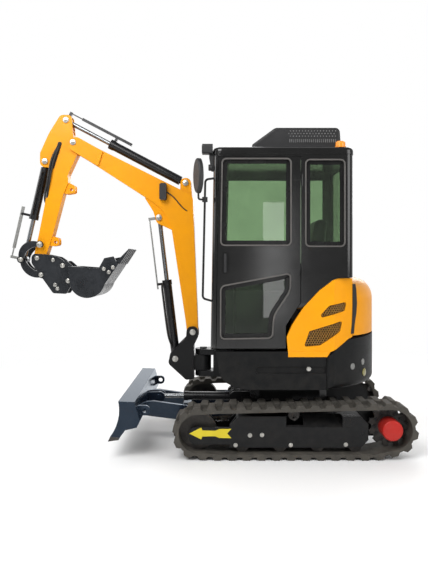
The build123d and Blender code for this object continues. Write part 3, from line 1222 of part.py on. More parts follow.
def make_guide_link():
    """Two bowed guide plates that steer the bucket ram's eye, joined by the pin through the arm."""
    outer = GUIDE_INNER_Y + GUIDE_PLATE
    pin_end = outer + 6.0
    ends = (GUIDE_PIN, LINK_PIN)
    plates = [bowed_plate(*ends, GUIDE_BOW, y, y + GUIDE_PLATE) for y in (-outer, GUIDE_INNER_Y)]
    arm_pin = across(GUIDE_PIN, RAM_PIN_RADIUS, -pin_end, pin_end)
    stubs = [across(LINK_PIN, RAM_PIN_RADIUS, LINK_INNER_Y, pin_end),
             across(LINK_PIN, RAM_PIN_RADIUS, -pin_end, -LINK_INNER_Y)]
    return joined([*plates, arm_pin, *stubs])


def make_bucket_link():
    """Bowed link from the bucket ram's eye to the coupler: two plates with a web near the coupler."""
    outer = LINK_INNER_Y + LINK_PLATE
    ends = (LINK_PIN, BUCKET_LINK_PIN)
    reach = distance_of(*ends)
    plates = [bowed_plate(*ends, LINK_BOW, y, y + LINK_PLATE) for y in (-outer, LINK_INNER_Y)]
    side = 2.0 * LINK_HALF_WIDTH + LINK_BOW
    corners = ((LINK_WEB_START, -side), (2 * reach, -side), (2 * reach, side), (LINK_WEB_START, side))
    web_room = slab([beside(*ends, distance, offset) for distance, offset in corners], -outer, outer)
    web = bowed_plate(*ends, LINK_BOW, -outer, outer) & web_room
    link = joined([*plates, web])
    for pin in ends:
        link -= across(pin, RAM_PIN_RADIUS + PIN_CLEARANCE, -outer - 1, outer + 1)
    return link


def make_coupler():
    """Quick coupler: two plates on the arm's tip pin, with the pins that hold the bucket."""
    outer = COUPLER_INNER_Y + COUPLER_PLATE
    corners = [40, 30, 20, 40, 30, 20, 20, 30, 40, 46]
    plates = pair_of_slabs(COUPLER_EDGE, COUPLER_INNER_Y, outer, corners)
    tip_pin = across(ARM_TIP, TIP_PIN_RADIUS, -outer, outer)
    floor_box = slab([(1950, 1440), (2090, 1310), (2100, 1340), (1965, 1480)], -COUPLER_INNER_Y - 1,
                     COUPLER_INNER_Y + 1)
    pin_end = BUCKET_EAR_INNER_Y + BUCKET_EAR_PLATE + 6.0
    bars = [across(spot, TIP_PIN_RADIUS, -pin_end, pin_end) for spot in (COUPLER_FRONT_PIN, COUPLER_REAR_PIN)]
    heads = stub_pins(BUCKET_LINK_PIN, COUPLER_INNER_Y, COUPLER_PLATE, RAM_PIN_RADIUS - 6)
    return joined([*plates, tip_pin, floor_box, *bars, *heads])


def standing(face, y):
    """A face drawn flat in (x, z) stood up at one y."""
    return Plane((0, y, 0), x_dir=(1, 0, 0), z_dir=(0, -1, 0)) * face


def bucket_side(inset):
    """Bucket's side outline: hinge wall, round heel, straight lip and the cutter at the mouth."""
    with BuildSketch() as sketch:
        with BuildLine():
            back = Line((1930 - inset, 1535 + 20 * inset), (1912 - inset, 1365 + inset * 0.4))
            heel_end = (BUCKET_HEEL[0] + inset, BUCKET_HEEL[1] + inset * 0.6)
            heel = ThreePointArc(back @ 1, (1783, 1258 + inset), heel_end)
            if inset:
                Polyline(heel @ 1, (BUCKET_LIP[0] + inset * 0.83, BUCKET_LIP[1] + inset * 0.557),
                         (1400, 1716), (1400, 1900), (1700, 1900), back @ 0)
            else:
                reach = distance_of(BUCKET_HEEL, BUCKET_LIP)
                lip_inside = beside(BUCKET_HEEL, BUCKET_LIP, reach, -BUCKET_WALL)
                Polyline(heel @ 1, BUCKET_LIP, lip_inside, (1530, 1622), (1612, 1606), (1662, 1515), back @ 0)
        make_face()
    return sketch.sketch.face()


def make_bucket():
    """Digging bucket: a round-heeled shell with side plates, side cutters and hanger ears."""
    half = BUCKET_WIDTH / 2
    shell = extrude(standing(bucket_side(0), -half), amount=2 * half, dir=(0, 1, 0))
    room = half - BUCKET_WALL
    shell -= extrude(standing(bucket_side(BUCKET_WALL), -room), amount=2 * room, dir=(0, 1, 0))
    ear = [(2052, 1540), (1990, 1592), (1918, 1530), (1914, 1362), (1975, 1362), (2010, 1410)]
    ear_outer = BUCKET_EAR_INNER_Y + BUCKET_EAR_PLATE
    ears = pair_of_slabs(ear, BUCKET_EAR_INNER_Y, ear_outer, [30, 30, 6, 6, 30, 30])
    bucket = joined([shell, *ears])
    for spot in (COUPLER_FRONT_PIN, COUPLER_REAR_PIN):
        bucket -= across(spot, TIP_PIN_RADIUS + PIN_CLEARANCE, -half, half)
    return bucket


def make_bucket_teeth():
    """Row of pointed teeth along the bucket's lip."""
    length = distance_of(BUCKET_HEEL, BUCKET_LIP)
    start = length + FIT_GAP
    reach = distance_of(BUCKET_LIP, TOOTH_TIP) + length
    outline = [
        beside(BUCKET_HEEL, BUCKET_LIP, start, -TOOTH_ROOT + BUCKET_WALL / 2),
        beside(BUCKET_HEEL, BUCKET_LIP, start, TOOTH_ROOT / 4),
        beside(BUCKET_HEEL, BUCKET_LIP, reach, TOOTH_POINT),
        beside(BUCKET_HEEL, BUCKET_LIP, reach, 0),
    ]
    span = BUCKET_WIDTH - 2 * BUCKET_WALL - TOOTH_WIDTH - 10
    teeth = []
    for index in range(TOOTH_COUNT):
        y = -span / 2 + span * index / (TOOTH_COUNT - 1)
        teeth += solids_of(slab(outline, y - TOOTH_WIDTH / 2, y + TOOTH_WIDTH / 2))
    return Compound(children=teeth)


def make_all():
    """Every named piece of the machine."""
    track = make_track()
    carrier = make_carrier()
    rollers = [solid for roller in make_rollers() for solid in solids_of(roller)]
    return {
        "undercarriage_frame": make_undercarriage_frame(),
        "track_left": track,
        "track_right": mirror(track, about=Plane.XZ),
        "idlers": both_sides(make_idler()),
        "sprockets": both_sides(make_sprocket()),
        "final_drives": both_sides(make_final_drive()),
        "track_rollers": both_sides(Compound(children=[*rollers, carrier])),
        "slew_ring": make_slew_ring(),
        "blade": make_blade(),
        "cutting_edge": make_cutting_edge(),
        "blade_barrel": ram_barrel(BLADE_RAM_FOOT, BLADE_RAM_EYE, *BLADE_BARREL),
        "blade_rod": ram_rod(BLADE_RAM_FOOT, BLADE_RAM_EYE, BLADE_ROD_INSIDE),
        "main_frame": make_main_frame(),
        "counterweight": make_counterweight(),
        "side_skirts": make_skirts(),
        "hood_left": make_hood_left(),
        "hood_right": make_hood_right(),
        "vent_grilles": make_vent_grilles(),
        "rear_hood": make_rear_hood(),
        "engine_block": make_engine(),
        "cab_frame": make_cab_frame(),
        "cab_roof": make_cab_roof(),
        "cab_glass": make_cab_glass(),
        "door": make_door(),
        "door_glass": make_door_glass(),
        "door_handle": make_door_handle(),
        "seat_base": make_seat_base(),
        "seat_cushion": make_seat_cushion(),
        "seat_back": make_seat_back(),
        "control_levers": make_control_levers(),
        "ac_unit": make_ac_unit(),
        "mirror": make_mirror(),
        "handrail": make_handrail(),
        "cab_lamp": make_cab_lamp(),
        "beacon": make_beacon(),
        "swing_bracket": make_swing_bracket(),
        "boom": make_boom(),
        "boom_lamp": make_boom_lamp(),
        "boom_barrel": ram_barrel(BOOM_RAM_FOOT, BOOM_RAM_EYE, *BOOM_BARREL, BOOM_GUARD),
        "boom_rod": ram_rod(BOOM_RAM_FOOT, BOOM_RAM_EYE, BOOM_ROD_INSIDE),
        "boom_guard": ram_guard(BOOM_RAM_FOOT, BOOM_RAM_EYE, BOOM_GUARD),
        "arm": make_arm(),
        "arm_barrel": ram_barrel(ARM_RAM_FOOT, ARM_RAM_EYE, *ARM_BARREL, ARM_GUARD),
        "arm_rod": ram_rod(ARM_RAM_FOOT, ARM_RAM_EYE, ARM_ROD_INSIDE),
        "arm_guard": ram_guard(ARM_RAM_FOOT, ARM_RAM_EYE, ARM_GUARD),
        "bucket_barrel": ram_barrel(BUCKET_RAM_FOOT, LINK_PIN, *BUCKET_BARREL, BUCKET_GUARD),
        "bucket_rod": ram_rod(BUCKET_RAM_FOOT, LINK_PIN, BUCKET_ROD_INSIDE),
        "bucket_guard": ram_guard(BUCKET_RAM_FOOT, LINK_PIN, BUCKET_GUARD),
        "guide_link": make_guide_link(),
        "bucket_link": make_bucket_link(),
        "coupler": make_coupler(),
        "bucket": make_bucket(),
        "bucket_teeth": make_bucket_teeth(),
    }


def main():
    """Build the machine and write one STEP file for each piece."""
    os.makedirs("parts", exist_ok=True)
    for name, shape in make_all().items():
        save(name, shape)


main()
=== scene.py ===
"""Mini excavator: finishes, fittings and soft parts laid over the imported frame.

Metres, in the frame of the solids: +X is the front, +Y the operator's left and +Z up.
"""

import json
import logging
import math
from collections.abc import Callable, Sequence
from dataclasses import dataclass, field
from enum import Enum

import bmesh
import bpy
from mathutils import Matrix, Vector
from mathutils.bvhtree import BVHTree


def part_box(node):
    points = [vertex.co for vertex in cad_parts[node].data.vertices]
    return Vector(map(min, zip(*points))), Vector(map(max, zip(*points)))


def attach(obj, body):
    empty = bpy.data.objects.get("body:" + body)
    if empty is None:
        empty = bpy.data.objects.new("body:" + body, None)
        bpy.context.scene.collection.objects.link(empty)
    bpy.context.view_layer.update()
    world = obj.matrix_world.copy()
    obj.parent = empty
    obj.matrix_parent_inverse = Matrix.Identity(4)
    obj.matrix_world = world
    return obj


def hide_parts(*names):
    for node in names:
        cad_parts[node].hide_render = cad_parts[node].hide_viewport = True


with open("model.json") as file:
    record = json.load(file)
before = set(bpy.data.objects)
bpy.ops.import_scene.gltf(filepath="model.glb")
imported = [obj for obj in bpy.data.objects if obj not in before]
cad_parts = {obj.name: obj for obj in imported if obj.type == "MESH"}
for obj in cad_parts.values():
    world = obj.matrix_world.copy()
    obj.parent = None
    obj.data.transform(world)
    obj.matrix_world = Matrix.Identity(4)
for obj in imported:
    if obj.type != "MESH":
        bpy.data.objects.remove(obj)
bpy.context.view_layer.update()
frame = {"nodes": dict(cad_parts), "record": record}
LOG = logging.getLogger("mini_excavator")

Colour = tuple[float, float, float]
Point = tuple[float, float, float]
Flat = tuple[float, float]
Outline = Sequence[Flat]
Route = Sequence[Point]
Mesh = bmesh.types.BMesh
Tree = bpy.types.NodeTree
Socket = bpy.types.NodeSocket

# Places of a colour mix node's sockets, whose names repeat
MIX_SHARE, MIX_UNDER, MIX_OVER, MIX_RESULT = 0, 6, 7, 2


class Grain(Enum):
    """Relief that a finish has on top of its shape."""

    SMOOTH = "smooth"
    ORANGE_PEEL = "orange_peel"
    TEXTURED = "textured"
    RUBBER = "rubber"
    LEATHER = "leather"


class Nodes:
    """Short steps for building shader nodes."""

    @staticmethod
    def add(tree: Tree, kind: str, values: dict[str, float] | None = None,
            **settings: str | int) -> bpy.types.Node:
        """Add a node.

        Args:
            tree: Where it goes.
            kind: Its type, without the leading ShaderNode.
            values: Default values of inputs, by name.
            settings: Properties of the node itself, such as its operation.

        Returns:
            The node.
        """
        node = tree.nodes.new(f"ShaderNode{kind}")
        for label, value in settings.items():
            setattr(node, label, value)
        for label, value in (values or {}).items():
            node.inputs[label].default_value = value
        return node

    @staticmethod
    def wire(tree: Tree, *pairs: tuple[Socket, Socket]) -> None:
        """Link the first socket of each pair to the second."""
        for source, target in pairs:
            tree.links.new(source, target)

    @classmethod
    def combine(cls, tree: Tree, operation: str, first: Socket, second: Socket) -> Socket:
        """Combine two values.

        Args:
            tree: Where the nodes are.
            operation: How they are combined.
            first: One value.
            second: The other value.

        Returns:
            The result.
        """
        node = cls.add(tree, "Math", operation=operation)
        cls.wire(tree, (first, node.inputs[0]), (second, node.inputs[1]))
        return node.outputs[0]

    @classmethod
    def noise(cls, tree: Tree, scale: Socket, **values: float) -> Socket:
        """Add noise that stays with the object.

        Args:
            tree: Where the nodes are.
            scale: The noise's scale.
            values: Its other inputs, by name.

        Returns:
            The noise's value.
        """
        place = cls.add(tree, "TexCoord")
        noise = cls.add(tree, "TexNoise", values)
        cls.wire(tree, (place.outputs["Object"], noise.inputs["Vector"]), (scale, noise.inputs["Scale"]))
        return noise.outputs["Fac"]

    @classmethod
    def spread(cls, tree: Tree, value: Socket, low: float, high: float) -> Socket:
        """Stretch a range of values to zero and one.

        Args:
            tree: Where the nodes are.
            value: The value.
            low: What becomes zero.
            high: What becomes one.

        Returns:
            The stretched value.
        """
        node = cls.add(tree, "MapRange", {"From Min": low, "From Max": high})
        cls.wire(tree, (value, node.inputs["Value"]))
        return node.outputs["Result"]


class EffectGroups:
    """Shader effects that several finishes share, each built once as a node group."""

    def __init__(self) -> None:
        """Build every group."""
        self.tone_drift = self._tone_drift()
        self.worn_edge = self._worn_edge()
        self.settled_dust = self._settled_dust()
        self.noise_relief = self._noise_relief()
        self.pebble_relief = self._pebble_relief()

    @staticmethod
    def _new(name: str, inputs: dict[str, float | tuple[float, ...]], outputs: dict[str, str]) -> Tree:
        """Start a group with named sockets.

        Args:
            name: The group's name.
            inputs: Default value of each input, by name. Four numbers make it a colour.
            outputs: Last part of each output's socket type, by name.

        Returns:
            The new group, with its input and output nodes in place.
        """
        tree = bpy.data.node_groups.new(name, "ShaderNodeTree")
        for label, value in inputs.items():
            kind = "NodeSocketColor" if isinstance(value, tuple) else "NodeSocketFloat"
            tree.interface.new_socket(label, in_out="INPUT", socket_type=kind).default_value = value
        for label, kind in outputs.items():
            tree.interface.new_socket(label, in_out="OUTPUT", socket_type=f"NodeSocket{kind}")
        tree.nodes.new("NodeGroupInput").name = "in"
        tree.nodes.new("NodeGroupOutput").name = "out"
        return tree

    def _tone_drift(self) -> Tree:
        """Slow change between two tones, as on hand-sprayed paint or rubbed rubber.

        Returns:
            The group.
        """
        tree = self._new(
            "tone_drift",
            {"Colour": (0.5, 0.5, 0.5, 1), "Second Colour": (0.4, 0.4, 0.4, 1), "Scale": 6.0},
            {"Colour": "Color", "Drift": "Float"},
        )
        given, out = tree.nodes["in"].outputs, tree.nodes["out"].inputs
        drift = Nodes.spread(tree, Nodes.noise(tree, given["Scale"], Detail=6.0, Roughness=0.62), 0.32, 0.68)
        blend = Nodes.add(tree, "Mix", data_type="RGBA")
        Nodes.wire(
            tree, (drift, blend.inputs[MIX_SHARE]), (given["Colour"], blend.inputs[MIX_UNDER]),
            (given["Second Colour"], blend.inputs[MIX_OVER]), (blend.outputs[MIX_RESULT], out["Colour"]),
            (drift, out["Drift"]),
        )
        return tree

    def _worn_edge(self) -> Tree:
        """Softened normals at sharp edges and a broken mask of where those edges are rubbed.

        Returns:
            The group.
        """
        tree = self._new(
            "worn_edge", {"Radius": 0.004, "Reach": 0.14, "Chips": 60.0},
            {"Mask": "Float", "Normal": "Vector"},
        )
        given, out = tree.nodes["in"].outputs, tree.nodes["out"].inputs
        bevel = Nodes.add(tree, "Bevel", samples=4)
        shape = Nodes.add(tree, "NewGeometry")
        dot = Nodes.add(tree, "VectorMath", operation="DOT_PRODUCT")
        bend = Nodes.add(tree, "Math", operation="SUBTRACT")
        bend.inputs[0].default_value = 1.0
        reach = Nodes.add(tree, "MapRange")
        Nodes.wire(
            tree, (given["Radius"], bevel.inputs["Radius"]), (bevel.outputs["Normal"], dot.inputs[0]),
            (shape.outputs["Normal"], dot.inputs[1]), (dot.outputs["Value"], bend.inputs[1]),
            (bend.outputs[0], reach.inputs["Value"]), (given["Reach"], reach.inputs["From Max"]),
        )
        chips = Nodes.spread(tree, Nodes.noise(tree, given["Chips"], Detail=5.0), 0.46, 0.62)
        mask = Nodes.combine(tree, "MULTIPLY", reach.outputs["Result"], chips)
        Nodes.wire(tree, (mask, out["Mask"]), (bevel.outputs["Normal"], out["Normal"]))
        return tree

    def _settled_dust(self) -> Tree:
        """Dust that lies on upward faces and thickens towards the ground.

        Returns:
            The group.
        """
        tree = self._new("settled_dust", {"Clean Height": 0.7, "Scale": 14.0}, {"Mask": "Float"})
        given, out = tree.nodes["in"].outputs, tree.nodes["out"].inputs
        place = Nodes.add(tree, "TexCoord")
        height = Nodes.add(tree, "SeparateXYZ")
        low = Nodes.add(tree, "MapRange", {"From Min": 0.0, "To Min": 1.0, "To Max": 0.12})
        shape = Nodes.add(tree, "NewGeometry")
        facing = Nodes.add(tree, "SeparateXYZ")
        upward = Nodes.add(tree, "MapRange", {"From Min": -0.3, "To Min": 0.35})
        Nodes.wire(
            tree, (place.outputs["Object"], height.inputs[0]), (height.outputs["Z"], low.inputs["Value"]),
            (given["Clean Height"], low.inputs["From Max"]), (shape.outputs["Normal"], facing.inputs[0]),
            (facing.outputs["Z"], upward.inputs["Value"]),
        )
        patches = Nodes.spread(tree, Nodes.noise(tree, given["Scale"], Detail=7.0, Roughness=0.7), 0.38, 0.7)
        lying = Nodes.combine(tree, "MULTIPLY", low.outputs["Result"], upward.outputs["Result"])
        Nodes.wire(tree, (Nodes.combine(tree, "MULTIPLY", lying, patches), out["Mask"]))
        return tree

    def _noise_relief(self) -> Tree:
        """Fine irregular relief, from orange peel in paint to cast or textured coatings.

        Returns:
            The group.
        """
        tree = self._new("noise_relief", {"Scale": 300.0}, {"Height": "Float"})
        height = Nodes.noise(tree, tree.nodes["in"].outputs["Scale"], Detail=3.0)
        Nodes.wire(tree, (height, tree.nodes["out"].inputs["Height"]))
        return tree

    def _pebble_relief(self) -> Tree:
        """Small rounded cells, as in vinyl and coarse moulded plastic.

        Returns:
            The group.
        """
        tree = self._new("pebble_relief", {"Scale": 400.0}, {"Height": "Float"})
        place = Nodes.add(tree, "TexCoord")
        cells = Nodes.add(tree, "TexVoronoi", feature="SMOOTH_F1")
        Nodes.wire(
            tree, (place.outputs["Object"], cells.inputs["Vector"]),
            (tree.nodes["in"].outputs["Scale"], cells.inputs["Scale"]),
            (cells.outputs["Distance"], tree.nodes["out"].inputs["Height"]),
        )
        return tree


EFFECTS = EffectGroups()


@dataclass(frozen=True)
class Finish:
    """One surface finish: its tones, gloss, relief, edge wear and dust."""

    name: str
    slot: str
    colour: Colour
    second: Colour
    rough: float = 0.4
    rough_drift: float = 0.1
    metallic: float = 0.0
    coat: float = 0.0
    coat_rough: float = 0.06
    grain: Grain = Grain.SMOOTH
    grain_scale: float = 300.0
    grain_depth: float = 0.0
    drift_scale: float = 5.0
    edge_radius: float = 0.003
    edge_colour: Colour = (0.3, 0.3, 0.3)
    edge_amount: float = 0.0
    dust_amount: float = 0.0
    dust_colour: Colour = (0.30, 0.27, 0.23)
    dust_dulling: float = 0.4
    clean_height: float = 0.7
    sheen: float = 0.0
    specular: float = 0.4
    gloss_tint: Colour = (1.0, 1.0, 1.0)

    def material(self) -> bpy.types.Material:
        """Build the finish as a material, or give back the one already built.

        Returns:
            The material named after the finish.
        """
        made = bpy.data.materials.get(self.name)
        if made:
            return made
        made = bpy.data.materials.new(self.name)
        made.use_nodes = True
        tree = made.node_tree
        shader = tree.nodes["Principled BSDF"]
        shader.inputs["Metallic"].default_value = self.metallic
        shader.inputs["Coat Weight"].default_value = self.coat
        shader.inputs["Coat Roughness"].default_value = self.coat_rough
        shader.inputs["Sheen Weight"].default_value = self.sheen
        shader.inputs["Specular IOR Level"].default_value = self.specular
        shader.inputs["Specular Tint"].default_value = (*self.gloss_tint, 1)
        shader.inputs["Coat Tint"].default_value = (*self.gloss_tint, 1)
        tone = self.toned(tree, self.colour, self.second, self.drift_scale)
        edge = self._effect(tree, EFFECTS.worn_edge, {"Radius": self.edge_radius})
        colour = tone.outputs["Colour"]
        if self.edge_amount:
            colour = self._lay(tree, colour, edge.outputs["Mask"], self.edge_amount, self.edge_colour)
        half = self.rough_drift / 2
        rough = self.drifting(tree, tone, self.rough - half, self.rough + half)
        if self.dust_amount:
            settled = self._effect(tree, EFFECTS.settled_dust, {"Clean Height": self.clean_height})
            dust = settled.outputs["Mask"]
            colour = self._lay(tree, colour, dust, self.dust_amount, self.dust_colour)
            duller = Nodes.add(tree, "Math", operation="MULTIPLY_ADD")
            duller.inputs[1].default_value = self.dust_dulling * self.dust_amount
            Nodes.wire(tree, (dust, duller.inputs[0]), (rough, duller.inputs[2]))
            rough = duller.outputs[0]
        Nodes.wire(
            tree, (colour, shader.inputs["Base Color"]), (rough, shader.inputs["Roughness"]),
            (self._normal(tree, edge), shader.inputs["Normal"]),
        )
        return made

    @classmethod
    def toned(cls, tree: Tree, colour: Colour, second: Colour, scale: float) -> bpy.types.Node:
        """Place the slow change between two tones at a scale, and give back its node."""
        values = {"Scale": scale, "Colour": (*colour, 1), "Second Colour": (*second, 1)}
        return cls._effect(tree, EFFECTS.tone_drift, values)

    @staticmethod
    def drifting(tree: Tree, tone: bpy.types.Node, low: float, high: float) -> Socket:
        """Let a value drift with a material's tone.

        Args:
            tree: The material's nodes.
            tone: The material's change of tone.
            low: Value at the first tone.
            high: Value at the second tone.

        Returns:
            The drifting value.
        """
        node = Nodes.add(tree, "MapRange", {"To Min": low, "To Max": high})
        Nodes.wire(tree, (tone.outputs["Drift"], node.inputs["Value"]))
        return node.outputs["Result"]

    @staticmethod
    def _effect(tree: Tree, group: Tree, values: dict[str, float | tuple[float, ...]]) -> bpy.types.Node:
        """Place a shared effect in a material.

        Args:
            tree: The material's nodes.
            group: The effect.
            values: Value of each named input that differs from the effect's own.

        Returns:
            The group node.
        """
        node = tree.nodes.new("ShaderNodeGroup")
        node.node_tree = group
        for label, value in values.items():
            node.inputs[label].default_value = value
        return node

    @staticmethod
    def _lay(tree: Tree, under: Socket, mask: Socket, amount: float, colour: Colour) -> Socket:
        """Lay a colour over another where a mask says so.

        Args:
            tree: The material's nodes.
            under: Colour below.
            mask: Where the colour lies.
            amount: How much of it shows where the mask is full.
            colour: Colour on top.

        Returns:
            The blended colour.
        """
        share = Nodes.add(tree, "Math", operation="MULTIPLY")
        share.inputs[1].default_value = amount
        blend = Nodes.add(tree, "Mix", data_type="RGBA")
        blend.inputs[MIX_OVER].default_value = (*colour, 1)
        Nodes.wire(
            tree, (mask, share.inputs[0]), (share.outputs[0], blend.inputs[MIX_SHARE]),
            (under, blend.inputs[MIX_UNDER]),
        )
        return blend.outputs[MIX_RESULT]

    def _normal(self, tree: Tree, edge: bpy.types.Node) -> Socket:
        """Soft-edged normal, with the finish's relief on it.

        Args:
            tree: The material's nodes.
            edge: The material's worn-edge effect.

        Returns:
            The normal for the shader.
        """
        if self.grain is Grain.SMOOTH:
            return edge.outputs["Normal"]
        group = EFFECTS.pebble_relief if self.grain is Grain.LEATHER else EFFECTS.noise_relief
        relief = self._effect(tree, group, {"Scale": self.grain_scale})
        bump = Nodes.add(tree, "Bump", {"Distance": self.grain_depth})
        Nodes.wire(
            tree, (relief.outputs["Height"], bump.inputs["Height"]),
            (edge.outputs["Normal"], bump.inputs["Normal"]),
        )
        return bump.outputs["Normal"]


@dataclass(frozen=True)
class GlassFinish:
    """Tinted safety glass, or a clear lens."""

    name: str
    slot: str
    colour: Colour
    alpha: float
    transmission: float = 0.0
    rough: float = 0.03
    rough_drift: float = 0.04
    ior: float = 1.5
    specular: float = 0.35
    second_share: float = 0.8
    drift_scale: float = 1.6

    def material(self) -> bpy.types.Material:
        """Build the glass as a material, or give back the one already built.

        Returns:
            The material named after the finish.
        """
        made = bpy.data.materials.get(self.name)
        if made:
            return made
        made = bpy.data.materials.new(self.name)
        made.use_nodes = True
        tree = made.node_tree
        shader = tree.nodes["Principled BSDF"]
        shader.inputs["IOR"].default_value = self.ior
        shader.inputs["Alpha"].default_value = self.alpha
        shader.inputs["Transmission Weight"].default_value = self.transmission
        shader.inputs["Specular IOR Level"].default_value = self.specular
        second = tuple(self.second_share * part for part in self.colour)
        tone = Finish.toned(tree, self.colour, second, self.drift_scale)
        rough = Finish.drifting(tree, tone, self.rough, self.rough + self.rough_drift)
        Nodes.wire(
            tree, (tone.outputs["Colour"], shader.inputs["Base Color"]), (rough, shader.inputs["Roughness"]),
        )
        return made


class Finishes:
    """Every finish on the machine."""

    yellow = Finish(
        "yellow_gloss_paint", "yellow_paint", (0.83, 0.325, 0.001), (0.77, 0.295, 0.001), rough=0.34,
        coat=0.05, specular=0.18, grain=Grain.ORANGE_PEEL, grain_scale=420, grain_depth=0.0002,
        edge_colour=(0.55, 0.22, 0.02), edge_amount=0.35, dust_amount=0.10, clean_height=1.2,
    )
    cab_black = Finish(
        "cab_black_gloss_paint", "cab_black", (0.004, 0.004, 0.004), (0.006, 0.006, 0.006), rough=0.13,
        rough_drift=0.06, specular=0.6, grain=Grain.ORANGE_PEEL, grain_scale=300, grain_depth=0.0002,
        edge_colour=(0.06, 0.06, 0.06), edge_amount=0.3,
    )
    frame_black = Finish(
        "frame_satin_black", "frame_black", (0.004, 0.0042, 0.0046), (0.006, 0.0063, 0.007), rough=0.34,
        specular=0.22, rough_drift=0.16, grain=Grain.TEXTURED, grain_scale=160, grain_depth=0.0004,
        edge_colour=(0.09, 0.09, 0.09), edge_amount=0.4, dust_amount=0.06,
    )
    # Blue tint on the blade's gloss and coat: a painted reflection of sky.
    blade_black = Finish(
        "blade_scuffed_black", "blade_black", (0.005, 0.007, 0.012), (0.008, 0.012, 0.020), rough=0.16,
        rough_drift=0.08, coat=0.26, specular=0.3, gloss_tint=(0.46, 0.72, 1.0), grain=Grain.TEXTURED,
        grain_scale=120, grain_depth=0.0004, edge_colour=(0.24, 0.27, 0.32), edge_amount=0.6,
        dust_amount=0.06, drift_scale=4.0,
    )
    ram_black = Finish(
        "ram_semi_gloss_black", "ram_black", (0.006, 0.006, 0.007), (0.010, 0.010, 0.011), rough=0.28,
        specular=0.35, grain=Grain.ORANGE_PEEL, grain_scale=380, grain_depth=0.0002,
        edge_colour=(0.08, 0.08, 0.08), edge_amount=0.4,
    )
    textured_grey = Finish(
        "counterweight_textured_coat", "textured_grey", (0.0045, 0.005, 0.0055), (0.007, 0.0072, 0.0075),
        rough=0.45, specular=0.14, grain=Grain.TEXTURED, grain_scale=900, grain_depth=0.0009,
        edge_colour=(0.08, 0.08, 0.08), edge_amount=0.35, dust_amount=0.15, clean_height=0.9,
    )
    rubber = Finish(
        "track_rubber_dusty", "track_rubber", (0.042, 0.039, 0.034), (0.066, 0.061, 0.053), rough=0.74,
        specular=0.25, grain=Grain.RUBBER, grain_scale=240, grain_depth=0.0010,
        edge_colour=(0.13, 0.12, 0.11), edge_amount=0.45, dust_amount=0.4, dust_colour=(0.17, 0.15, 0.12),
        clean_height=0.9, drift_scale=9.0,
    )
    seal_rubber = Finish(
        "window_seal_rubber", "trim_plastic", (0.010, 0.010, 0.010), (0.014, 0.014, 0.014), rough=0.6,
        grain=Grain.RUBBER, grain_scale=500, grain_depth=0.0002,
    )
    # Light grey on the black rubber window seals: a painted highlight along them.
    seal_with_highlight = Finish(
        "window_seal_painted_highlight", "trim_plastic", (0.105, 0.098, 0.092), (0.075, 0.070, 0.066), rough=0.45,
    )
    vent_mesh = Finish(
        "vent_mesh_bronze", "grille_black", (0.42, 0.21, 0.035), (0.24, 0.13, 0.035), rough=0.5,
        drift_scale=26.0,
    )
    # Mid grey on the cooler grille's dots and slats: painted highlights on a dark grille.
    cooler_highlight = Finish(
        "cooler_grille_painted_highlight", "grille_black", (0.19, 0.19, 0.19), (0.09, 0.09, 0.09), rough=0.4,
        drift_scale=30.0,
    )
    reflector = Finish(
        "olive_reflector", "amber_lens", (0.22, 0.19, 0.035), (0.17, 0.145, 0.025), rough=0.2, coat=0.5,
    )
    dark_steel = Finish(
        "dark_oiled_steel", "dark_steel", (0.022, 0.021, 0.021), (0.045, 0.042, 0.040), rough=0.45,
        metallic=0.6, grain=Grain.TEXTURED, grain_scale=140, grain_depth=0.0005,
        edge_colour=(0.28, 0.27, 0.26), edge_amount=0.7, dust_amount=0.4,
    )
    bucket_steel = Finish(
        "bucket_blue_grey_paint", "bucket_steel", (0.010, 0.0115, 0.014), (0.018, 0.0205, 0.025), rough=0.30,
        rough_drift=0.18, metallic=0.15, coat=0.15, grain=Grain.TEXTURED, grain_scale=150, grain_depth=0.0005,
        edge_colour=(0.26, 0.26, 0.27), edge_amount=0.75, drift_scale=8.0,
    )
    red = Finish(
        "final_drive_red_paint", "red_paint", (0.44, 0.013, 0.008), (0.36, 0.010, 0.006), rough=0.36,
        coat=0.1, specular=0.2, grain=Grain.ORANGE_PEEL, grain_scale=260, grain_depth=0.0003,
        edge_colour=(0.25, 0.05, 0.04), edge_amount=0.4, dust_amount=0.25,
    )
    arrow = Finish(
        "arrow_yellow_film", "yellow_paint", (0.66, 0.54, 0.035), (0.60, 0.48, 0.028), rough=0.35,
        specular=0.2,
    )
    chrome = Finish(
        "rod_hard_chrome", "chrome_rod", (0.27, 0.28, 0.29), (0.22, 0.23, 0.24), rough=0.27, rough_drift=0.06,
        metallic=1.0, drift_scale=12.0,
    )
    guard_grey = Finish(
        "guard_worn_steel", "dark_steel", (0.30, 0.30, 0.29), (0.22, 0.22, 0.21), rough=0.4, metallic=0.7,
        drift_scale=14.0,
    )
    zinc = Finish(
        "zinc_plated_steel", "chrome_rod", (0.52, 0.51, 0.48), (0.42, 0.41, 0.38), rough=0.34, metallic=1.0,
        drift_scale=30.0, edge_radius=0.001,
    )
    black_bolt = Finish(
        "black_bolt", "dark_steel", (0.016, 0.016, 0.017), (0.03, 0.03, 0.03), rough=0.4, metallic=0.5,
        edge_radius=0.001, edge_colour=(0.25, 0.25, 0.25), edge_amount=0.6, drift_scale=30.0,
    )
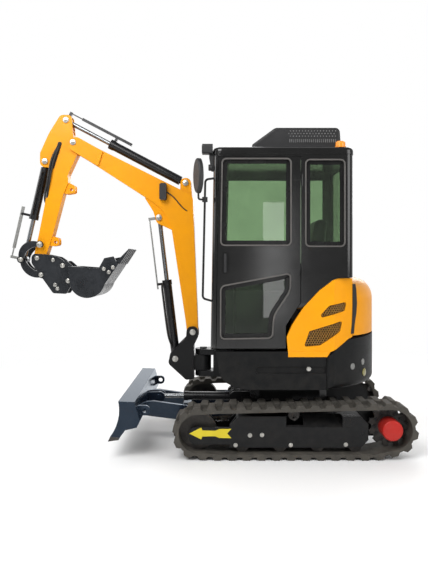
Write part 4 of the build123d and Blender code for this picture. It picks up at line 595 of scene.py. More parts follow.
    # Engine's own dark cast metal, darkened further as painted shade inside the hood.
    engine = Finish(
        "engine_cast_metal_painted_shade", "engine_metal", (0.045, 0.045, 0.047), (0.025, 0.025, 0.026), rough=0.5,
        metallic=0.5, grain=Grain.TEXTURED, grain_scale=220, grain_depth=0.0006,
    )
    grille = Finish(
        "grille_black_plastic", "grille_black", (0.008, 0.008, 0.008), (0.012, 0.012, 0.012), rough=0.55,
        edge_radius=0.001,
    )
    border = Finish(
        "glass_printed_border", "trim_plastic", (0.006, 0.006, 0.006), (0.009, 0.009, 0.009), rough=0.25,
        specular=0.3,
    )
    plastic = Finish(
        "moulded_black_plastic", "trim_plastic", (0.012, 0.012, 0.013), (0.018, 0.018, 0.019), rough=0.46,
        grain=Grain.LEATHER, grain_scale=700, grain_depth=0.0003, edge_colour=(0.06, 0.06, 0.06),
        edge_amount=0.3,
    )
    vinyl = Finish(
        "seat_black_vinyl", "seat_vinyl", (0.013, 0.013, 0.014), (0.020, 0.020, 0.021), rough=0.48,
        grain=Grain.LEATHER, grain_scale=520, grain_depth=0.0006, sheen=0.15,
    )
    hose = Finish(
        "hose_black_rubber", "track_rubber", (0.010, 0.010, 0.010), (0.017, 0.017, 0.016), rough=0.5,
        grain=Grain.RUBBER, grain_scale=700, grain_depth=0.0003,
    )
    amber = Finish("amber_lens", "amber_lens", (0.85, 0.22, 0.01), (0.75, 0.17, 0.008), rough=0.15, coat=0.6)
    mirror_face = Finish(
        "mirror_silver", "chrome_rod", (0.85, 0.86, 0.87), (0.80, 0.81, 0.82), rough=0.03, rough_drift=0.02,
        metallic=1.0,
    )
    glass = GlassFinish("green_tinted_glass", "tinted_glass", (0.46, 0.60, 0.42), 1.0, 1.0, 0.0)
    lens = GlassFinish("lamp_lens", "tinted_glass", (0.75, 0.78, 0.80), 0.55)


NODE_FINISHES: list[tuple[Finish | GlassFinish, str]] = [
    (Finishes.frame_black, "undercarriage_frame main_frame swing_bracket"),
    (Finishes.rubber, "track_left track_right"),
    (Finishes.dark_steel, "idlers sprockets track_rollers slew_ring cutting_edge"),
    (Finishes.red, "final_drives"),
    (Finishes.blade_black, "blade"),
    (Finishes.ram_black, "blade_barrel handrail boom_barrel arm_barrel bucket_barrel arm_guard"),
    (Finishes.chrome, "blade_rod boom_rod arm_rod bucket_rod"),
    (Finishes.textured_grey, "counterweight side_skirts"),
    (Finishes.yellow, "hood_left hood_right rear_hood boom arm"),
    (Finishes.grille, "vent_grilles"),
    (Finishes.engine, "engine_block"),
    (Finishes.cab_black, "cab_frame cab_roof door"),
    (Finishes.glass, "cab_glass door_glass"),
    (Finishes.plastic, "door_handle seat_base control_levers ac_unit mirror cab_lamp boom_lamp"),
    (Finishes.vinyl, "seat_cushion seat_back"),
    (Finishes.amber, "beacon"),
    (Finishes.guard_grey, "boom_guard bucket_guard"),
    (Finishes.bucket_steel, "guide_link bucket_link coupler bucket bucket_teeth"),
]


def dress_nodes() -> None:
    """Give every solid of the frame its finish."""
    for finish, names in NODE_FINISHES:
        for name in names.split():
            materials = frame["nodes"][name].data.materials
            materials.clear()
            materials.append(finish.material())
            LOG.info("dressed %s", name)


@dataclass
class Studio:
    """Pale floor, soft light and the camera at the photograph's view."""

    image_width: float = 428.0
    image_height: float = 571.0
    sensor_width: float = 36.0
    focal_pixels: float = 620.0
    principal: Flat = (221.0, 262.0)
    eye: Point = (0.590, 5.675, 1.572)
    lamp_aim: Point = (0.4, 0.0, 1.1)
    floor_size: float = 60.0
    floor_tone: float = 0.93
    floor_rough: float = 0.8
    floor_specular: float = 0.1
    shadow_radius: float = 3.0
    clear_radius: float = 5.5
    backdrop_level: float = 1.0
    room_level: float = 0.30
    backdrop_edge: Flat = (-0.75, 0.05)
    lamps: dict[str, tuple[Point, Flat, float]] = field(default_factory=lambda: {
        "key_softbox": ((3.2, 5.2, 5.6), (4.0, 4.0), 390.0),
        "fill_softbox": ((-4.6, 4.4, 3.4), (4.0, 4.0), 160.0),
        "back_softbox": ((-1.0, -5.4, 4.6), (5.0, 5.0), 240.0),
        "front_softbox": ((6.0, -0.5, 3.6), (3.5, 3.5), 110.0),
        "strip_softbox": ((-0.32, 6.4, 1.60), (0.36, 2.0), 8.0),
    })

    def build(self) -> None:
        """Place the camera, the lamps, the world and the floor."""
        self._camera()
        self._lamps()
        self._world()
        self._floor()
        bpy.context.scene.view_settings.view_transform = "Standard"

    def _camera(self) -> None:
        """Camera that repeats the photograph's place, lens and framing."""
        data = bpy.data.cameras.new("photo_camera")
        data.sensor_width = self.sensor_width
        data.lens = self.focal_pixels * self.sensor_width / self.image_height
        data.shift_x = (self.image_width / 2 - self.principal[0]) / self.image_height
        data.shift_y = (self.principal[1] - self.image_height / 2) / self.image_height
        camera = bpy.data.objects.new("photo_camera", data)
        camera.location = self.eye
        camera.rotation_euler = (math.pi / 2, 0.0, math.pi)
        bpy.context.collection.objects.link(camera)
        bpy.context.scene.camera = camera

    def _lamps(self) -> None:
        """Soft lamps aimed at the machine's middle, not seen by the camera or through glass."""
        aim = Vector(self.lamp_aim)
        for name, (place, (width, height), power) in self.lamps.items():
            data = bpy.data.lights.new(name, "AREA")
            data.shape = "RECTANGLE"
            data.size = width
            data.size_y = height
            data.energy = power
            lamp = bpy.data.objects.new(name, data)
            lamp.location = place
            lamp.visible_camera = False
            lamp.visible_transmission = False
            lamp.rotation_euler = (aim - Vector(place)).to_track_quat("-Z", "Y").to_euler()
            bpy.context.collection.objects.link(lamp)

    def _world(self) -> None:
        """White surroundings for the camera and glass, and for other light a white backdrop in a dim room."""
        world = bpy.data.worlds.new("white_surroundings")
        world.use_nodes = True
        bpy.context.scene.world = world
        tree = world.node_tree
        shade = tree.nodes["Background"]
        shade.inputs["Color"].default_value = (1, 1, 1, 1)
        place = Nodes.add(tree, "TexCoord")
        parts = Nodes.add(tree, "SeparateXYZ")
        first, last = self.backdrop_edge
        levels = {
            "From Min": first, "From Max": last, "To Min": self.backdrop_level, "To Max": self.room_level,
        }
        room = Nodes.add(tree, "MapRange", levels, interpolation_type="SMOOTHSTEP")
        Nodes.wire(
            tree, (place.outputs["Generated"], parts.inputs[0]), (parts.outputs["Y"], room.inputs["Value"]),
        )
        level = Nodes.combine(tree, "MAXIMUM", room.outputs["Result"], self._seen(tree))
        Nodes.wire(tree, (level, shade.inputs["Strength"]))

    @staticmethod
    def _seen(tree: Tree) -> Socket:
        """Value of one for rays that show the background, seen straight or through glass."""
        path = Nodes.add(tree, "LightPath").outputs
        return Nodes.combine(tree, "MAXIMUM", path["Is Camera Ray"], path["Is Transmission Ray"])

    def _floor(self) -> None:
        """Pale floor that keeps the machine's shadow near it and fades into the white surroundings."""
        bm = bmesh.new()
        bmesh.ops.create_grid(bm, x_segments=1, y_segments=1, size=self.floor_size / 2)
        mesh = bpy.data.meshes.new("pale_floor")
        bm.to_mesh(mesh)
        bm.free()
        floor = bpy.data.objects.new("pale_floor", mesh)
        bpy.context.collection.objects.link(floor)
        made = bpy.data.materials.new("pale_floor")
        made.use_nodes = True
        tree = made.node_tree
        shader = tree.nodes["Principled BSDF"]
        shader.inputs["Base Color"].default_value = (self.floor_tone, self.floor_tone, self.floor_tone, 1)
        shader.inputs["Roughness"].default_value = self.floor_rough
        shader.inputs["Specular IOR Level"].default_value = self.floor_specular
        white = Nodes.add(tree, "Emission")
        place = Nodes.add(tree, "TexCoord")
        far = Nodes.add(tree, "VectorMath", operation="LENGTH")
        reach = {"From Min": self.shadow_radius, "From Max": self.clear_radius}
        fade = Nodes.add(tree, "MapRange", reach, interpolation_type="SMOOTHSTEP")
        blend = Nodes.add(tree, "MixShader")
        Nodes.wire(
            tree, (place.outputs["Object"], far.inputs[0]), (far.outputs["Value"], fade.inputs["Value"]),
        )
        share = Nodes.combine(tree, "MULTIPLY", fade.outputs["Result"], self._seen(tree))
        Nodes.wire(
            tree, (share, blend.inputs["Fac"]), (shader.outputs["BSDF"], blend.inputs[1]),
            (white.outputs["Emission"], blend.inputs[2]),
            (blend.outputs[0], tree.nodes["Material Output"].inputs["Surface"]),
        )
        mesh.materials.append(made)


class Maker:
    """Small mesh-making steps that several sub-assemblies share."""

    # Shares of a bolt head's width between corners
    washer_radius: float = 0.72
    washer_rise: float = 0.12
    head_rise: float = 0.4
    head_rounding: float = 0.06
    # Share of the washer's rise
    washer_rounding: float = 0.4
    # Shares of a pin flange's radius
    flange_rise: float = 0.16
    boss_radius: float = 0.68
    pin_bolt: float = 0.62
    # Shares of the flange's rise
    flange_rounding: float = 0.5
    boss_rounding: float = 0.45

    @staticmethod
    def piece(name: str, bm: Mesh, finish: Finish | GlassFinish, body: str,
              smooth_angle: float = 40.0) -> bpy.types.Object:
        """Turn a bmesh into a finished piece that rides on a body.

        Args:
            name: The piece's name.
            bm: Its mesh, in place. It is freed.
            finish: Its finish.
            body: Body of the frame that carries it.
            smooth_angle: Edges flatter than this, in degrees, are shaded smooth.

        Returns:
            The piece.
        """
        bmesh.ops.remove_doubles(bm, verts=bm.verts, dist=1e-6)
        bmesh.ops.recalc_face_normals(bm, faces=bm.faces)
        limit = math.radians(smooth_angle)
        for face in bm.faces:
            face.smooth = True
        for edge in bm.edges:
            edge.smooth = len(edge.link_faces) == 2 and edge.calc_face_angle(math.pi) < limit
        mesh = bpy.data.meshes.new(name)
        bm.to_mesh(mesh)
        bm.free()
        mesh.materials.append(finish.material())
        made = bpy.data.objects.new(name, mesh)
        bpy.context.collection.objects.link(made)
        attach(made, body)
        LOG.info("made %s on %s", name, body)
        return made

    @staticmethod
    def turned(axis: Point, centre: Point) -> Matrix:
        """Matrix that stands a shape's Z along an axis at a centre."""
        return Matrix.Translation(centre) @ Vector(axis).to_track_quat("Z", "Y").to_matrix().to_4x4()

    @staticmethod
    def rectangle(low: Flat, high: Flat) -> Outline:
        """Corners of an upright rectangle between its lowest and its highest corner."""
        return [low, (high[0], low[1]), high, (low[0], high[1])]

    @classmethod
    def drum(cls, bm: Mesh, centre: Point, axis: Point, radius: float, depth: float, rounding: float = 0.0,
             sides: int = 28) -> None:
        """Add a round or many-sided drum that starts at a centre and rises along an axis.

        Args:
            bm: Mesh to add to.
            centre: Middle of the drum's base.
            axis: Direction it rises in.
            radius: Its radius.
            depth: Its height.
            rounding: Bevel of its far rim.
            sides: Number of sides.
        """
        made = bmesh.ops.create_cone(bm, cap_ends=True, segments=sides, radius1=radius, radius2=radius,
                                     depth=depth)
        verts = made["verts"]
        bmesh.ops.translate(bm, verts=verts, vec=(0, 0, depth / 2))
        if rounding:
            rim = [edge for edge in {edge for vert in verts for edge in vert.link_edges}
                   if all(abs(vert.co.z - depth) < 1e-7 for vert in edge.verts)]
            grown = bmesh.ops.bevel(bm, geom=rim, offset=rounding, affect="EDGES", segments=3, profile=0.5,
                                    material=-1)
            verts = list({*[vert for vert in verts if vert.is_valid], *grown["verts"]})
        bmesh.ops.transform(bm, matrix=cls.turned(axis, centre), verts=verts)

    @classmethod
    def bolt(cls, bm: Mesh, centre: Point, axis: Point, across: float) -> None:
        """Add a hexagon bolt head on its washer, in the proportions of a usual bolt.

        Args:
            bm: Mesh to add to.
            centre: Where the washer meets the surface.
            axis: Direction out of the surface.
            across: Width of the head between corners.
        """
        out = Vector(axis).normalized()
        washer = across * cls.washer_rise
        cls.drum(bm, centre, axis, across * cls.washer_radius, washer, washer * cls.washer_rounding, 20)
        head = tuple(Vector(centre) + out * washer)
        cls.drum(bm, head, axis, across / 2, across * cls.head_rise, across * cls.head_rounding, 6)

    @classmethod
    def pin_cap(cls, bm: Mesh, centre: Point, axis: Point, radius: float) -> None:
        """Add a pin's end flange with its raised middle and a bolt.

        Args:
            bm: Mesh to add to.
            centre: Where the flange meets the plate.
            axis: Direction out of the plate.
            radius: The flange's radius.
        """
        out = Vector(axis).normalized()
        rise = radius * cls.flange_rise
        cls.drum(bm, centre, axis, radius, rise, rise * cls.flange_rounding, 32)
        boss = tuple(Vector(centre) + out * rise)
        cls.drum(bm, boss, axis, radius * cls.boss_radius, rise, rise * cls.boss_rounding, 28)
        cls.bolt(bm, tuple(Vector(centre) + out * rise * 2), axis, radius * cls.pin_bolt)

    @staticmethod
    def rim_of(bm: Mesh, face: bmesh.types.BMFace, width: float) -> list[bmesh.types.BMFace]:
        """Take the middle out of a face.

        Args:
            bm: The face's mesh.
            face: The face.
            width: Width of the rim that stays.

        Returns:
            The rim's faces.
        """
        rim = bmesh.ops.inset_region(bm, faces=[face], thickness=width, use_boundary=True,
                                     use_even_offset=True)
        bmesh.ops.delete(bm, geom=[face], context="FACES_ONLY")
        return rim["faces"]

    @staticmethod
    def thicken(bm: Mesh, faces: list[bmesh.types.BMFace], move: Point) -> list[bmesh.types.BMVert]:
        """Draw faces out into a solid.

        Args:
            bm: Their mesh.
            faces: The faces.
            move: How far they are drawn.

        Returns:
            The new points.
        """
        lifted = bmesh.ops.extrude_face_region(bm, geom=faces)["geom"]
        moved = [item for item in lifted if isinstance(item, bmesh.types.BMVert)]
        bmesh.ops.translate(bm, verts=moved, vec=move)
        return moved

    @classmethod
    def plate(cls, bm: Mesh, outline: Outline, y: float, thickness: float, corner: float = 0.0,
              hole: float = 0.0, steps: int = 5) -> None:
        """Add a flat plate that stands in the XZ plane, with rounded corners and, where asked, only its rim.

        Args:
            bm: Mesh to add to.
            outline: Its corners as (x, z).
            y: Where its near face starts.
            thickness: How far it reaches along +Y, or along -Y when negative.
            corner: Radius of its corners.
            hole: Width of the rim that stays when the middle is taken out, or nothing.
            steps: Segments of each corner.
        """
        verts = [bm.verts.new((x, y, z)) for x, z in outline]
        face = bm.faces.new(verts)
        if corner:
            bmesh.ops.bevel(bm, geom=verts, offset=corner, affect="VERTICES", segments=steps, profile=0.5,
                            material=-1)
            rounded = (item for item in bm.faces if len(item.verts) >= len(outline) * steps)
            face = max(rounded, key=lambda item: item.index)
        cls.thicken(bm, cls.rim_of(bm, face, hole) if hole else [face], (0, thickness, 0))

    @staticmethod
    def line(name: str, points: Route, radius: float, finish: Finish, body: str) -> None:
        """Add a clamped hose or a steel pipe as a smooth tube.

        Args:
            name: The piece's name.
            points: Its route.
            radius: Its radius.
            finish: Its finish.
            body: Body that carries it.
        """
        curve = bpy.data.curves.new(name, "CURVE")
        curve.dimensions = "3D"
        curve.bevel_depth = radius
        curve.bevel_resolution = 3
        curve.use_fill_caps = True
        spline = curve.splines.new("NURBS")
        spline.points.add(len(points) - 1)
        for point, place in zip(spline.points, points):
            point.co = (*place, 1)
        spline.order_u = 3
        spline.use_endpoint_u = True
        spline.resolution_u = 8
        shown = bpy.data.objects.new(f"{name}_route", curve)
        bpy.context.collection.objects.link(shown)
        mesh = bpy.data.meshes.new_from_object(shown.evaluated_get(bpy.context.evaluated_depsgraph_get()))
        bpy.data.objects.remove(shown)
        bm = bmesh.new()
        bm.from_mesh(mesh)
        bpy.data.meshes.remove(mesh)
        Maker.piece(name, bm, finish, body)


BODY_OF: dict[str, str] = {
    node: body for body, nodes in frame["record"]["behaviour"]["bodies"].items() for node in nodes
}
SIDES = (1, -1)


class Surface:
    """Finds where the frame's solids are, so that fittings sit on them."""

    _far_away: float = 3.0
    _trees: dict[str, BVHTree] = {}

    @classmethod
    def side_y(cls, node: str, x: float, z: float, side: int) -> float:
        """Outermost Y of a solid on one side of the machine.

        Args:
            node: The solid's name.
            x: Where to look along the machine.
            z: Where to look upwards.
            side: 1 for the left side, -1 for the right.

        Returns:
            The surface's Y, or the solid's own reach on that side where nothing is hit.
        """
        if node not in cls._trees:
            mesh = frame["nodes"][node].data
            cls._trees[node] = BVHTree.FromPolygons(
                [vert.co[:] for vert in mesh.vertices], [face.vertices[:] for face in mesh.polygons]
            )
        spot = cls._trees[node].ray_cast(Vector((x, cls._far_away * side, z)), Vector((0, -side, 0)))[0]
        if spot is None:
            LOG.warning("nothing of %s at %.3f, %.3f", node, x, z)
            low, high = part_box(node)
            return high[1] if side > 0 else low[1]
        return spot.y


@dataclass
class Fittings:
    """Pin caps and bolts on both sides of the digging gear and the tracks, as (x, z) by node."""

    cap_radius: float = 0.027
    small_cap_radius: float = 0.021
    bolt_across: float = 0.024
    pins: dict[str, list[Flat]] = field(default_factory=lambda: {
        "boom": [(1.924, 2.651), (1.153, 1.975), (0.911, 2.289)],
        "arm": [(1.996, 2.859), (2.185, 2.484)],
        "guide_link": [(2.220, 1.729)],
        "swing_bracket": [(0.845, 0.941), (1.002, 0.701)],
        "undercarriage_frame": [(0.461, 0.347)],
    })
    small_pins: dict[str, list[Flat]] = field(default_factory=lambda: {
        "coupler": [(2.251, 1.608), (2.211, 1.457), (2.013, 1.540), (1.964, 1.403)],
        "guide_link": [(2.390, 1.595)],
    })
    bolts: dict[str, list[Flat]] = field(default_factory=lambda: {
        "coupler": [(2.106, 1.591), (2.087, 1.366), (2.065, 1.332)],
        "bucket": [(1.6155, 1.5116), (1.5359, 1.5248), (1.5718, 1.4836)],
        "undercarriage_frame": [
            (0.474, 0.112), (0.034, 0.112), (-0.405, 0.116), (0.359, 0.190), (0.263, 0.193),
        ],
    })
    sprocket_centre: Flat = (-0.765, 0.240)
    sprocket_bolt_circle: float = 0.112
    sprocket_bolts: int = 12

    def build(self) -> None:
        """Make one piece of caps or bolts for each node that has them."""
        self._set("pin_caps", self.pins, Finishes.zinc, Maker.pin_cap, self.cap_radius)
        self._set("small_pin_caps", self.small_pins, Finishes.zinc, Maker.pin_cap, self.small_cap_radius)
        self._set("bolts", self.bolts, Finishes.zinc, Maker.bolt, self.bolt_across)
        x, z = self.sprocket_centre
        circle = self.sprocket_bolt_circle
        turns = [2 * math.pi * index / self.sprocket_bolts for index in range(self.sprocket_bolts)]
        ring = [(x + circle * math.cos(turn), z + circle * math.sin(turn)) for turn in turns]
        self._set("bolts", {"sprockets": ring}, Finishes.black_bolt, Maker.bolt, self.bolt_across)

    @staticmethod
    def _set(kind: str, spots: dict[str, list[Flat]], finish: Finish, make: Callable[..., None],
             size: float) -> None:
        """Make the same fitting at several spots of several nodes.

        Args:
            kind: Last part of each piece's name.
            spots: Places as (x, z), by node.
            finish: The fittings' finish.
            make: The maker's method for one fitting.
            size: Its size.
        """
        for node, places in spots.items():
            bm = bmesh.new()
            for x, z in places:
                for side in SIDES:
                    make(bm, (x, Surface.side_y(node, x, z, side), z), (0, side, 0), size)
            Maker.piece(f"{node}_{kind}", bm, finish, BODY_OF[node])


@dataclass
class TravelArrows:
    """Plain yellow direction arrow on each track frame."""

    film: float = 0.0008
    half: Outline = (
        (0.844, 0.0), (0.747, 0.048), (0.739, 0.0245), (0.637, 0.0225), (0.602, 0.036), (0.507, 0.0375),
    )
    notch_x: float = 0.540
    middle_z: float = 0.205

    def build(self) -> None:
        """Lay an arrow on both frames."""
        upper = [(x, self.middle_z + z) for x, z in self.half]
        lower = [(x, self.middle_z - z) for x, z in reversed(self.half[1:])]
        outline = [*upper, (self.notch_x, self.middle_z), *lower]
        bm = bmesh.new()
        for side in SIDES:
            y = Surface.side_y("undercarriage_frame", self.half[2][0], self.middle_z, side)
            Maker.plate(bm, outline, y, side * self.film)
        Maker.piece("travel_arrows", bm, Finishes.arrow, "undercarriage")


@dataclass
class HydraulicLines:
    """Clamped hoses and steel pipes on the boom, the arm and the rams."""

    hose_radius: float = 0.010
    pipe_radius: float = 0.007
    cable_radius: float = 0.005
    slot: Outline = (
        (2.030, 2.655), (2.062, 2.665), (2.140, 2.425), (2.105, 2.415),
    )
    slot_middle: Flat = (2.085, 2.54)
    slot_rise: float = 0.004
    slot_corner: float = 0.014
    hose_gap: float = 0.022
    # x, way out of the arm's side, z, and the lower hose's shares of the gap along x and z
    arm_route: tuple[tuple[float, float, float, float, float], ...] = (
        (2.046, -0.010, 2.650, 1.0, -1.0), (2.056, 0.016, 2.610, 1.0, -1.0), (2.086, 0.018, 2.535, 1.0, 0.0),
        (2.112, 0.018, 2.450, 1.0, 0.0), (2.130, 0.016, 2.370, 0.8, 0.0), (2.146, 0.012, 2.275, 0.8, 0.0),
        (2.160, 0.002, 2.200, 1.0, 0.0), (2.172, -0.014, 2.130, 1.0, 0.0), (2.166, -0.030, 2.085, 0.4, 0.0),
    )
    bucket_ram_route: Route = (
        (2.207, 0.036, 2.388), (2.217, 0.062, 2.378), (2.226, 0.066, 2.330), (2.284, 0.066, 2.080),
        (2.296, 0.062, 2.020), (2.300, 0.036, 2.000),
    )
    boom_ram_route: Route = (
        (1.122, 0.036, 1.372), (1.126, 0.066, 1.360), (1.112, 0.070, 1.250), (1.084, 0.068, 1.020),
        (1.060, 0.064, 0.860), (1.030, 0.030, 0.800),
    )
    # x, way out of the boom's side, z
    cable_route: Route = (
        (1.100, 0.004, 2.215), (1.076, 0.007, 2.202), (1.013, 0.007, 2.157), (0.955, 0.007, 2.080),
        (0.905, 0.006, 2.035), (0.870, -0.020, 2.020),
    )
    cable_middle: Flat = (1.0, 2.15)

    def build(self) -> None:
        """Make the arm's hoses and their slot, the ram pipes and the boom's lamp cable."""
        arm_y = Surface.side_y("arm", *self.slot_middle, 1)
        bm = bmesh.new()
        Maker.plate(bm, self.slot, arm_y, self.slot_rise, self.slot_corner)
        Maker.piece("arm_hose_slot", bm, Finishes.seal_rubber, "arm")
        for name, gap in (("upper", 0.0), ("lower", self.hose_gap)):
            route = [(x + gap * along, arm_y + out, z + gap * up) for x, out, z, along, up in self.arm_route]
            Maker.line(f"arm_hose_{name}", route, self.hose_radius, Finishes.hose, "arm")
        Maker.line("bucket_ram_pipe", self.bucket_ram_route, self.pipe_radius, Finishes.ram_black,
                   "bucket_barrel")
        Maker.line("boom_ram_hose", self.boom_ram_route, self.hose_radius, Finishes.hose, "boom_barrel")
        boom_y = Surface.side_y("boom", *self.cable_middle, 1)
        cable = [(x, boom_y + out, z) for x, out, z in self.cable_route]
        Maker.line("boom_lamp_cable", cable, self.cable_radius, Finishes.hose, "boom")


@dataclass
class CabWindows:
    """Seals round the cab's windows, light grey as a painted highlight, and printed borders on the side
    glass.
    """

    seal_width: float = 0.012
    seal_rise: float = 0.004
    seal_sink: float = 0.010
    border_width: float = 0.045
    border_depth: float = 0.0012
    border_gap: float = 0.0004
    corner: float = 0.040
    door_window: Outline = (
        (0.586, 2.408), (0.598, 1.700), (0.022, 1.700), (0.022, 2.408),
    )
    lower_window: Outline = (
        (0.598, 1.382), (0.027, 1.488), (0.027, 1.341), (0.160, 1.141), (0.173, 0.955), (0.600, 0.948),
    )
    quarter_window: Outline = (
        (-0.084, 2.400), (-0.410, 2.400), (-0.410, 1.692), (-0.084, 1.692),
    )
    side_window: Outline = (
        (0.560, 2.390), (0.585, 1.480), (-0.420, 1.480), (-0.420, 2.390),
    )
    end_window: Flat = (-0.196, 0.640)
    end_seal_depth: float = 0.008
    end_seal_sink: float = 0.002
    front_heights: Flat = (1.010, 2.385)
    rear_heights: Flat = (1.560, 2.385)
    front_top_x: float = 0.650
    front_span: Flat = (0.852, 2.440)

    def build(self) -> None:
        """Make the seals and borders."""
        for name, outline, node, side in (
            ("door_window", self.door_window, "door", 1), ("door_lower_window", self.lower_window, "door", 1),
            ("quarter_window", self.quarter_window, "cab_frame", 1),
            ("side_window", self.side_window, "cab_frame", -1),
        ):
            self._side_window(name, outline, node, side)
        self._end_window("front_window", self.front_heights, 1)
        self._end_window("rear_window", self.rear_heights, -1)

    def _side_window(self, name: str, outline: Outline, node: str, side: int) -> None:
        """Rubber seal on the outer face, light grey as a painted highlight, and a dark printed border on the
        glass of a side window.

        Args:
            name: First part of the pieces' names.
            outline: The window's corners as (x, z).
            node: Solid that the window is cut in.
            side: 1 for the left side, -1 for the right.
        """
        body = BODY_OF[node]
        glass = "door_glass" if node == "door" else "cab_glass"
        middle_x = sum(x for x, _ in outline) / len(outline)
        middle_z = sum(z for _, z in outline) / len(outline)
        below_z = min(z for _, z in outline) - self.seal_width
        seal_y = Surface.side_y(node, middle_x, below_z, side) - side * self.seal_sink
        glass_y = Surface.side_y(glass, middle_x, middle_z, side) + side * self.border_gap
        for kind, y, depth, width, finish in (
            ("seal", seal_y, self.seal_rise + self.seal_sink, self.seal_width, Finishes.seal_with_highlight),
            ("border", glass_y, self.border_depth, self.border_width, Finishes.border),
        ):
            bm = bmesh.new()
            Maker.plate(bm, outline, y, side * depth, self.corner, width)
            Maker.piece(f"{name}_{kind}", bm, finish, body)

    def _end_window(self, name: str, heights: Flat, side: int) -> None:
        """Rubber seal round the front or the rear window, leaning with the front, light grey as a painted
        highlight.

        Args:
            name: First part of the piece's name.
            heights: The window's lowest and highest point.
            side: 1 for the front, -1 for the rear.
        """
        low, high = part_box("cab_glass")
        reach = high[0] if side > 0 else low[0]
        bottom, top = heights
        left, right = self.end_window
        bm = bmesh.new()
        outline = Maker.rectangle((left, bottom), (right, top))
        Maker.plate(bm, outline, 0.0, self.end_seal_depth, self.corner, self.seal_width)
        foot, eaves = self.front_span
        lean = (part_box("cab_frame")[1][0] - self.front_top_x) / (eaves - foot) if side > 0 else 0.0
        for vert in bm.verts:
            y, depth, z = vert.co
            vert.co = (reach + side * (depth - self.end_seal_sink) - lean * (z - bottom), y, z)
        Maker.piece(f"{name}_seal", bm, Finishes.seal_with_highlight, "upper")


@dataclass
class WorkLamps:
    """Bezels and lenses of the cab's and the boom's lamp, and the cab lamp's bracket."""

    insets: dict[str, float] = field(default_factory=lambda: {"cab_lamp": 0.010, "boom_lamp": 0.009})
    corner: float = 0.012
    bezel_depth: float = 0.004
    bezel_width: float = 0.006
    bezel_sink: float = 0.001
    lens_depth: float = 0.002
    lens_gap: float = 0.0004
    bracket_back: float = 0.596
    bracket_drop: float = 0.140
    bracket_width: float = 0.020
    bracket_corner: float = 0.006
    bracket_lap: float = 0.004
    bracket_reach: Flat = (0.030, 0.012)
    bracket_bend: float = 0.030
    horn_start: Flat = (0.006, 0.032)
    horn_size: tuple[float, float, float] = (0.026, 0.030, 0.006)

    def build(self) -> None:
        """Make the lamps' fronts and the bracket."""
        self._lenses()
        self._bracket()

    def _lenses(self) -> None:
        """Rubber bezel and clear lens on the front of the cab's and the boom's work lamp."""
        for node, inset in self.insets.items():
            low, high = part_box(node)
            outline = Maker.rectangle((low[1] + inset, low[2] + inset), (high[1] - inset, high[2] - inset))
            for kind, thickness, start, rim, finish in (
                ("bezel", self.bezel_depth, -self.bezel_sink, self.bezel_width, Finishes.seal_rubber),
                ("lens", self.lens_depth, self.lens_gap, 0.0, Finishes.lens),
            ):
                bm = bmesh.new()
                Maker.plate(bm, outline, 0.0, thickness, self.corner, rim)
                for vert in bm.verts:
                    y, depth, z = vert.co
                    vert.co = (high[0] + start + depth, y, z)
                Maker.piece(f"{node}_{kind}", bm, finish, BODY_OF[node])

    def _bracket(self) -> None:
        """Bent plate under the cab's lamp, with a small round horn on it."""
        low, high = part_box("cab_lamp")
        middle = (low[1] + high[1]) / 2
        top = low[2] + self.bracket_lap
        bottom = low[2] - self.bracket_drop
        upper_x, lower_x = (low[0] + reach for reach in self.bracket_reach)
        outline = [(self.bracket_back, top), (upper_x, top), (upper_x, low[2] - self.bracket_bend),
                   (lower_x, bottom), (self.bracket_back, bottom)]
        bm = bmesh.new()
        Maker.plate(bm, outline, middle - self.bracket_width / 2, self.bracket_width, self.bracket_corner)
        horn_x, horn_z = self.horn_start
        Maker.drum(bm, (low[0] + horn_x, middle, bottom + horn_z), (1, 0, 0), *self.horn_size)
        Maker.piece("cab_lamp_bracket", bm, Finishes.plastic, "upper")


@dataclass
class MirrorFace:
    """The mirror's reflecting face."""

    centre: Point = (0.757, 0.735, 2.259)
    half: Flat = (0.052, 0.128)
    depth: float = 0.002
    turn: float = 30.0
    sides: int = 48

    def build(self) -> None:
        """Silvered oval set in the mirror's head, turned to the operator."""
        bm = bmesh.new()
        made = bmesh.ops.create_circle(bm, cap_ends=True, segments=self.sides, radius=1.0)
        bmesh.ops.scale(bm, verts=made["verts"], vec=(*self.half, 1.0))
        Maker.thicken(bm, bm.faces[:], (0, 0, self.depth))
        turn = math.radians(self.turn)
        inward = Vector((-math.cos(turn), -math.sin(turn), 0))
        upward = Vector((0, 0, 1))
        place = Matrix((upward.cross(inward), upward, inward)).transposed().to_4x4()
        place.translation = Vector(self.centre)
        bmesh.ops.transform(bm, matrix=place, verts=bm.verts)
        Maker.piece("mirror_face", bm, Finishes.mirror_face, "upper")


